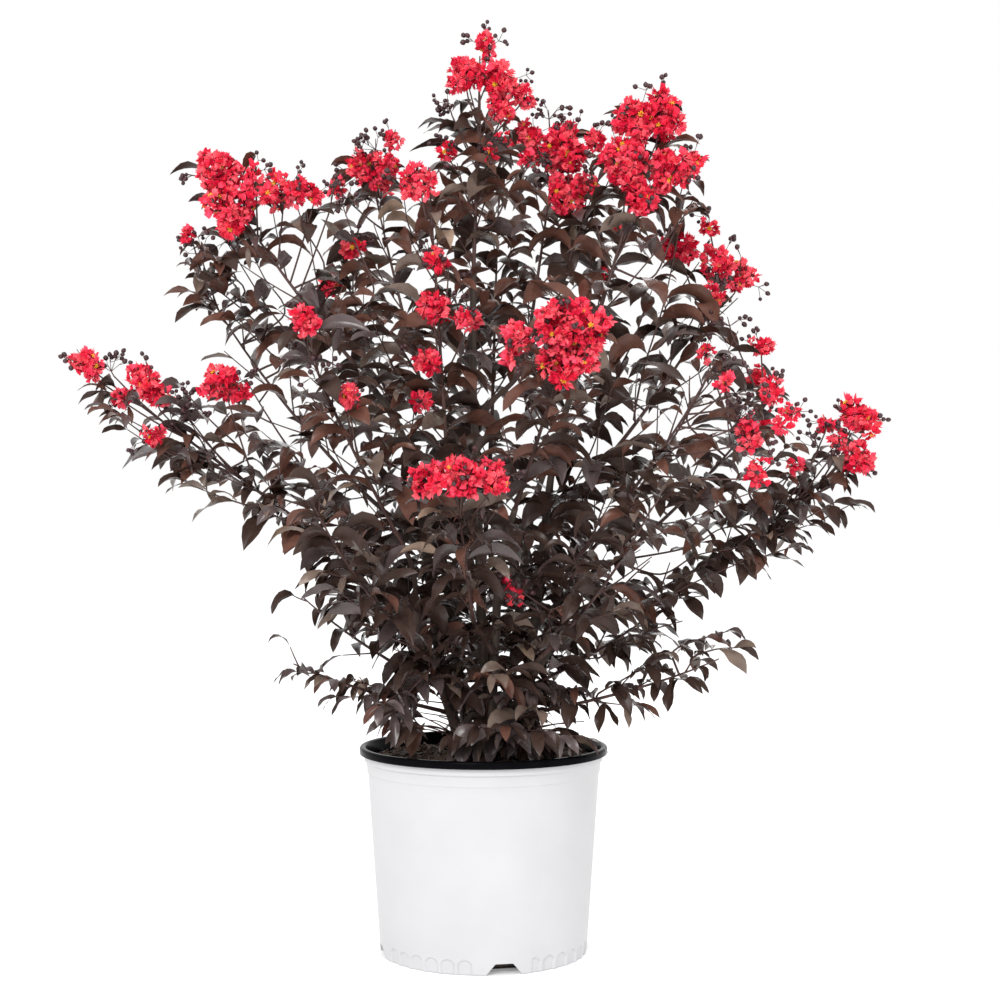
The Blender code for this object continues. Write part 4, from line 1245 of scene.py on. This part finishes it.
def pot_shell():
    white = material(
        "pot_white", (0.520, 0.518, 0.528), (0.545, 0.543, 0.553), 0.42, 14.0, 0.0001, 900.0, specular=0.22
    )
    top = POT_HEIGHT - RIM_BAND - CONTACT_GAP
    foot_rows = [(wall_radius(z), z) for z in np.linspace(FOOT_ROUND, FLUTE_HEIGHT + 0.002, 22)]
    outer = [(FOOT_RADIUS - 0.004, 0.0)]
    outer += arc((FOOT_RADIUS - FOOT_ROUND, FOOT_ROUND), FOOT_ROUND, 270, 350, 3)
    outer += foot_rows
    outer += [(wall_radius(z), z) for z in (0.05, 0.09, 0.13, 0.17, 0.195, BAND_HEIGHT - 0.0004)]
    outer += [
        (BAND_RADII[0] + 0.0002, BAND_HEIGHT),
        (BAND_RADII[1] - 0.0002, BAND_HEIGHT + STEP_RISE - 0.0003),
        (BAND_RADII[1], BAND_HEIGHT + STEP_RISE + 0.0003),
        (BAND_RADII[1] + 0.0003, COLLAR_HEIGHT - 0.0004),
        (BAND_RADII[1] + 0.0006, COLLAR_HEIGHT),
        (COLLAR_RADIUS - 0.0002, COLLAR_HEIGHT + STEP_RISE - 0.0003),
        (COLLAR_RADIUS, COLLAR_HEIGHT + STEP_RISE + 0.0002),
        (COLLAR_RADIUS, top),
    ]
    outside_rows = len(outer)
    mouth = COLLAR_RADIUS - 0.001 - SHELL_THICKNESS
    inset = FLUTE_DEPTH + SHELL_THICKNESS
    inner = [
        (mouth, top),
        (BAND_RADII[0] - SHELL_THICKNESS, BAND_HEIGHT),
        (wall_radius(0.022) - inset, 0.022),
        (wall_radius(0.0) - inset, FLOOR_THICKNESS),
        (0.0004, FLOOR_THICKNESS),
        (0.0004, 0.0),
    ]

    def dent(row, angle, height):
        return flute_depth(angle, height) if row < outside_rows and height <= FLUTE_HEIGHT else 0.0

    profile = outer + inner + [outer[0]]
    shell = turned_piece(
        "pot_shell_wall", profile, FLUTE_COUNT * FLUTE_COLUMNS, white, "pot_white", ("pot_shell",), dent
    )
    merge_points(shell.data)
    for n in range(NOTCH_COUNT):
        tool = notch_cutter(n)
        boolean = shell.modifiers.new("notch", "BOOLEAN")
        boolean.operation = "DIFFERENCE"
        boolean.object = tool
        cut_mesh = modified_mesh(shell)
        shell.modifiers.clear()
        shell.data = cut_mesh
        bpy.data.objects.remove(tool)
    merge_points(shell.data)
    shell.data.shade_smooth()
    shell.data.set_sharp_from_angle(angle=math.radians(38))


def merge_points(mesh):
    bm = bmesh.new()
    bm.from_mesh(mesh)
    bmesh.ops.remove_doubles(bm, verts=bm.verts, dist=1e-5)
    bmesh.ops.dissolve_degenerate(bm, edges=bm.edges, dist=1e-5)
    bmesh.ops.recalc_face_normals(bm, faces=bm.faces)
    bm.to_mesh(mesh)
    bm.free()


def pot_lining():
    black = material(
        "pot_black", (0.0015, 0.0015, 0.002), (0.003, 0.003, 0.004), 0.16, 30.0, 0.0001, 800.0, specular=0.02
    )
    under = POT_HEIGHT - RIM_BAND
    outside = SHELL_THICKNESS + CONTACT_GAP
    bottom = wall_radius(SOIL_CORNER) - FLUTE_DEPTH
    mouth = RIM_RADIUS - RIM_WIDTH
    flare = COLLAR_RADIUS - 0.001
    profile = [(bottom - outside, SOIL_CORNER)]
    profile += [(BAND_RADII[0] - outside, BAND_HEIGHT), (flare - outside, under)]
    profile += arc((RIM_RADIUS - 0.0014, under + 0.0014), 0.0014, 270, 360, 4)
    profile += [(RIM_RADIUS, under + 0.0045)]
    profile += arc((RIM_RADIUS - 0.0028, POT_HEIGHT - 0.0028), 0.0028, 0, 90, 7)
    profile += arc((mouth + 0.0018, POT_HEIGHT - 0.0024), 0.0024, 90, 165, 6)
    profile += [
        (mouth - 0.0024, POT_HEIGHT - 0.0060),
        (BAND_RADII[0] - outside - LINING_THICKNESS, BAND_HEIGHT),
        (bottom - outside - LINING_THICKNESS, SOIL_CORNER),
    ]
    profile.append(profile[0])
    lining = turned_piece("pot_lining_rim", profile, LINING_SIDES, black, "pot_black", ("pot_lining",))
    merge_points(lining.data)
    lining.data.shade_smooth()
    lining.data.set_sharp_from_angle(angle=math.radians(50))


def potting_soil():
    """The root ball's uneven top, its plain sides and floor, and bark chips strewn on it."""
    earth = material("potting_soil", (0.016, 0.009, 0.006), (0.060, 0.036, 0.024), 0.9, 110.0, 0.0015, 380.0)
    _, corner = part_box("potting_soil")
    top = corner[2] - SOIL_ROUGHNESS * 0.5
    radius = SOIL_RADIUS - 0.0004
    floor = FLOOR_THICKNESS + CONTACT_GAP
    profile = [(radius * r / SOIL_RINGS, top) for r in range(1, SOIL_RINGS + 1)]
    profile[-1] = (radius, top - 0.003)
    profile += [(radius, BAND_HEIGHT - 0.003), (wall_radius(SOIL_CORNER) - 0.005, SOIL_CORNER)]
    profile += [(FOOT_RADIUS - NOTCH_REACH - 0.002, floor)]
    verts = []
    for index, (reach, height) in enumerate(profile):
        for s in range(SOIL_SIDES):
            angle = 2 * math.pi * s / SOIL_SIDES
            point = Vector((reach * math.cos(angle), reach * math.sin(angle), height))
            if index < SOIL_RINGS:
                point.z += SOIL_ROUGHNESS * (noise.noise(point * 55) + 0.5 * noise.noise(point * 190))
            verts.append(tuple(point))
    faces = strip_faces(len(profile), SOIL_SIDES, closed=True).tolist()
    verts += [(0.0, 0.0, top), (0.0, 0.0, floor)]
    middle, base = len(verts) - 2, len(verts) - 1
    last = middle - SOIL_SIDES
    faces += [((s + 1) % SOIL_SIDES, s, middle) for s in range(SOIL_SIDES)]
    faces += [(last + s, last + (s + 1) % SOIL_SIDES, base) for s in range(SOIL_SIDES)]
    add_piece("potting_soil_top", verts, faces, earth, "potting_soil", ("potting_soil",))
    chips = material("bark_chips", (0.030, 0.016, 0.010), (0.105, 0.060, 0.036), 0.85, 90.0, 0.0006, 420.0)
    rng = generator(8)
    heap = Heap()
    cube = np.array([(x, y, z) for x in (-1, 1) for y in (-1, 1) for z in (-1, 1)], float)
    sides_of_cube = ((0, 1, 3, 2), (4, 6, 7, 5), (0, 4, 5, 1), (2, 3, 7, 6), (0, 2, 6, 4), (1, 5, 7, 3))
    cube_faces = np.array([t for a, b, c, d in sides_of_cube for t in ((a, b, c), (a, c, d))])
    for _ in range(CHIP_COUNT):
        reach = (radius - 0.005) * math.sqrt(rng.random())
        angle = rng.uniform(0, 2 * math.pi)
        size = np.array([rng.uniform(*limits) for limits in CHIP_SIZES])
        shape = (cube + rng.normal(0, 0.22, cube.shape)) * size
        tilt = Matrix.Rotation(rng.normal(0, 0.4), 3, "X") @ Matrix.Rotation(rng.normal(0, 0.3), 3, "Y")
        spin = np.array(Matrix.Rotation(rng.uniform(0, 6.28), 3, "Z") @ tilt)
        centre = (reach * math.cos(angle), reach * math.sin(angle), top + rng.uniform(0.0, 0.002))
        heap.add(shape @ spin.T + centre, cube_faces)
    chip_piece = heap.piece("bark_chips", chips, "potting_soil")
    chip_piece.data.shade_flat()


# Stage

FLOOR_GLOW = 0.24
WORLD_STRENGTH = 1.0
FLOOR_REACH = 30
FLOOR_HEIGHT = -0.0004
LIGHT_TARGET = (0.0, 0.0, 0.5)
# Name, place, size and power of each light
LIGHTS = (
    ("key", (-0.8, -2.9, 2.4), 1.8, 84.0),
    ("fill", (2.4, -1.6, 1.4), 1.6, 8.0),
    ("rear", (0.8, 2.6, 2.4), 1.8, 30.0),
)


def stage():
    floor_material = material("floor", (0.86, 0.86, 0.86), (0.87, 0.87, 0.87), 0.8, 3.0, specular=0.0)
    shader = floor_material.node_tree.nodes["Principled BSDF"]
    shader.inputs["Emission Color"].default_value = (1.0, 1.0, 1.0, 1.0)
    shader.inputs["Emission Strength"].default_value = FLOOR_GLOW
    corners = ((-1, -1), (1, -1), (1, 1), (-1, 1))
    verts = [(x * FLOOR_REACH, y * FLOOR_REACH, FLOOR_HEIGHT) for x, y in corners]
    mesh = bpy.data.meshes.new("floor")
    mesh.from_pydata(verts, [], [(0, 1, 2, 3)])
    mesh.materials.append(floor_material)
    floor = placed("floor", mesh)
    world = bpy.data.worlds.new("studio")
    world.use_nodes = True
    world.node_tree.nodes["Background"].inputs["Color"].default_value = (1.0, 1.0, 1.0, 1.0)
    world.node_tree.nodes["Background"].inputs["Strength"].default_value = WORLD_STRENGTH
    bpy.context.scene.world = world
    for row in LIGHTS:
        soft_light(*row)


def soft_light(name, place, size, power):
    light = bpy.data.lights.new(name, "AREA")
    light.shape = "DISK"
    light.size = size
    light.energy = power
    made = placed(name, light)
    made.location = place
    made.rotation_euler = (Vector(LIGHT_TARGET) - Vector(place)).to_track_quat("-Z", "Y").to_euler()


def camera():
    data = bpy.data.cameras.new("camera")
    data.lens = CAMERA_LENS
    data.sensor_width = SENSOR_WIDTH
    made = placed("camera", data)
    made.location = CAMERA_PLACE
    made.rotation_euler = (math.pi / 2, 0.0, 0.0)
    bpy.context.scene.camera = made


leaf_pieces()
floret_pieces()
bud_piece()
twig_piece()
wood_pieces()
pot_shell()
pot_lining()
potting_soil()
stage()
camera()
bpy.context.scene.view_settings.view_transform = "Standard"
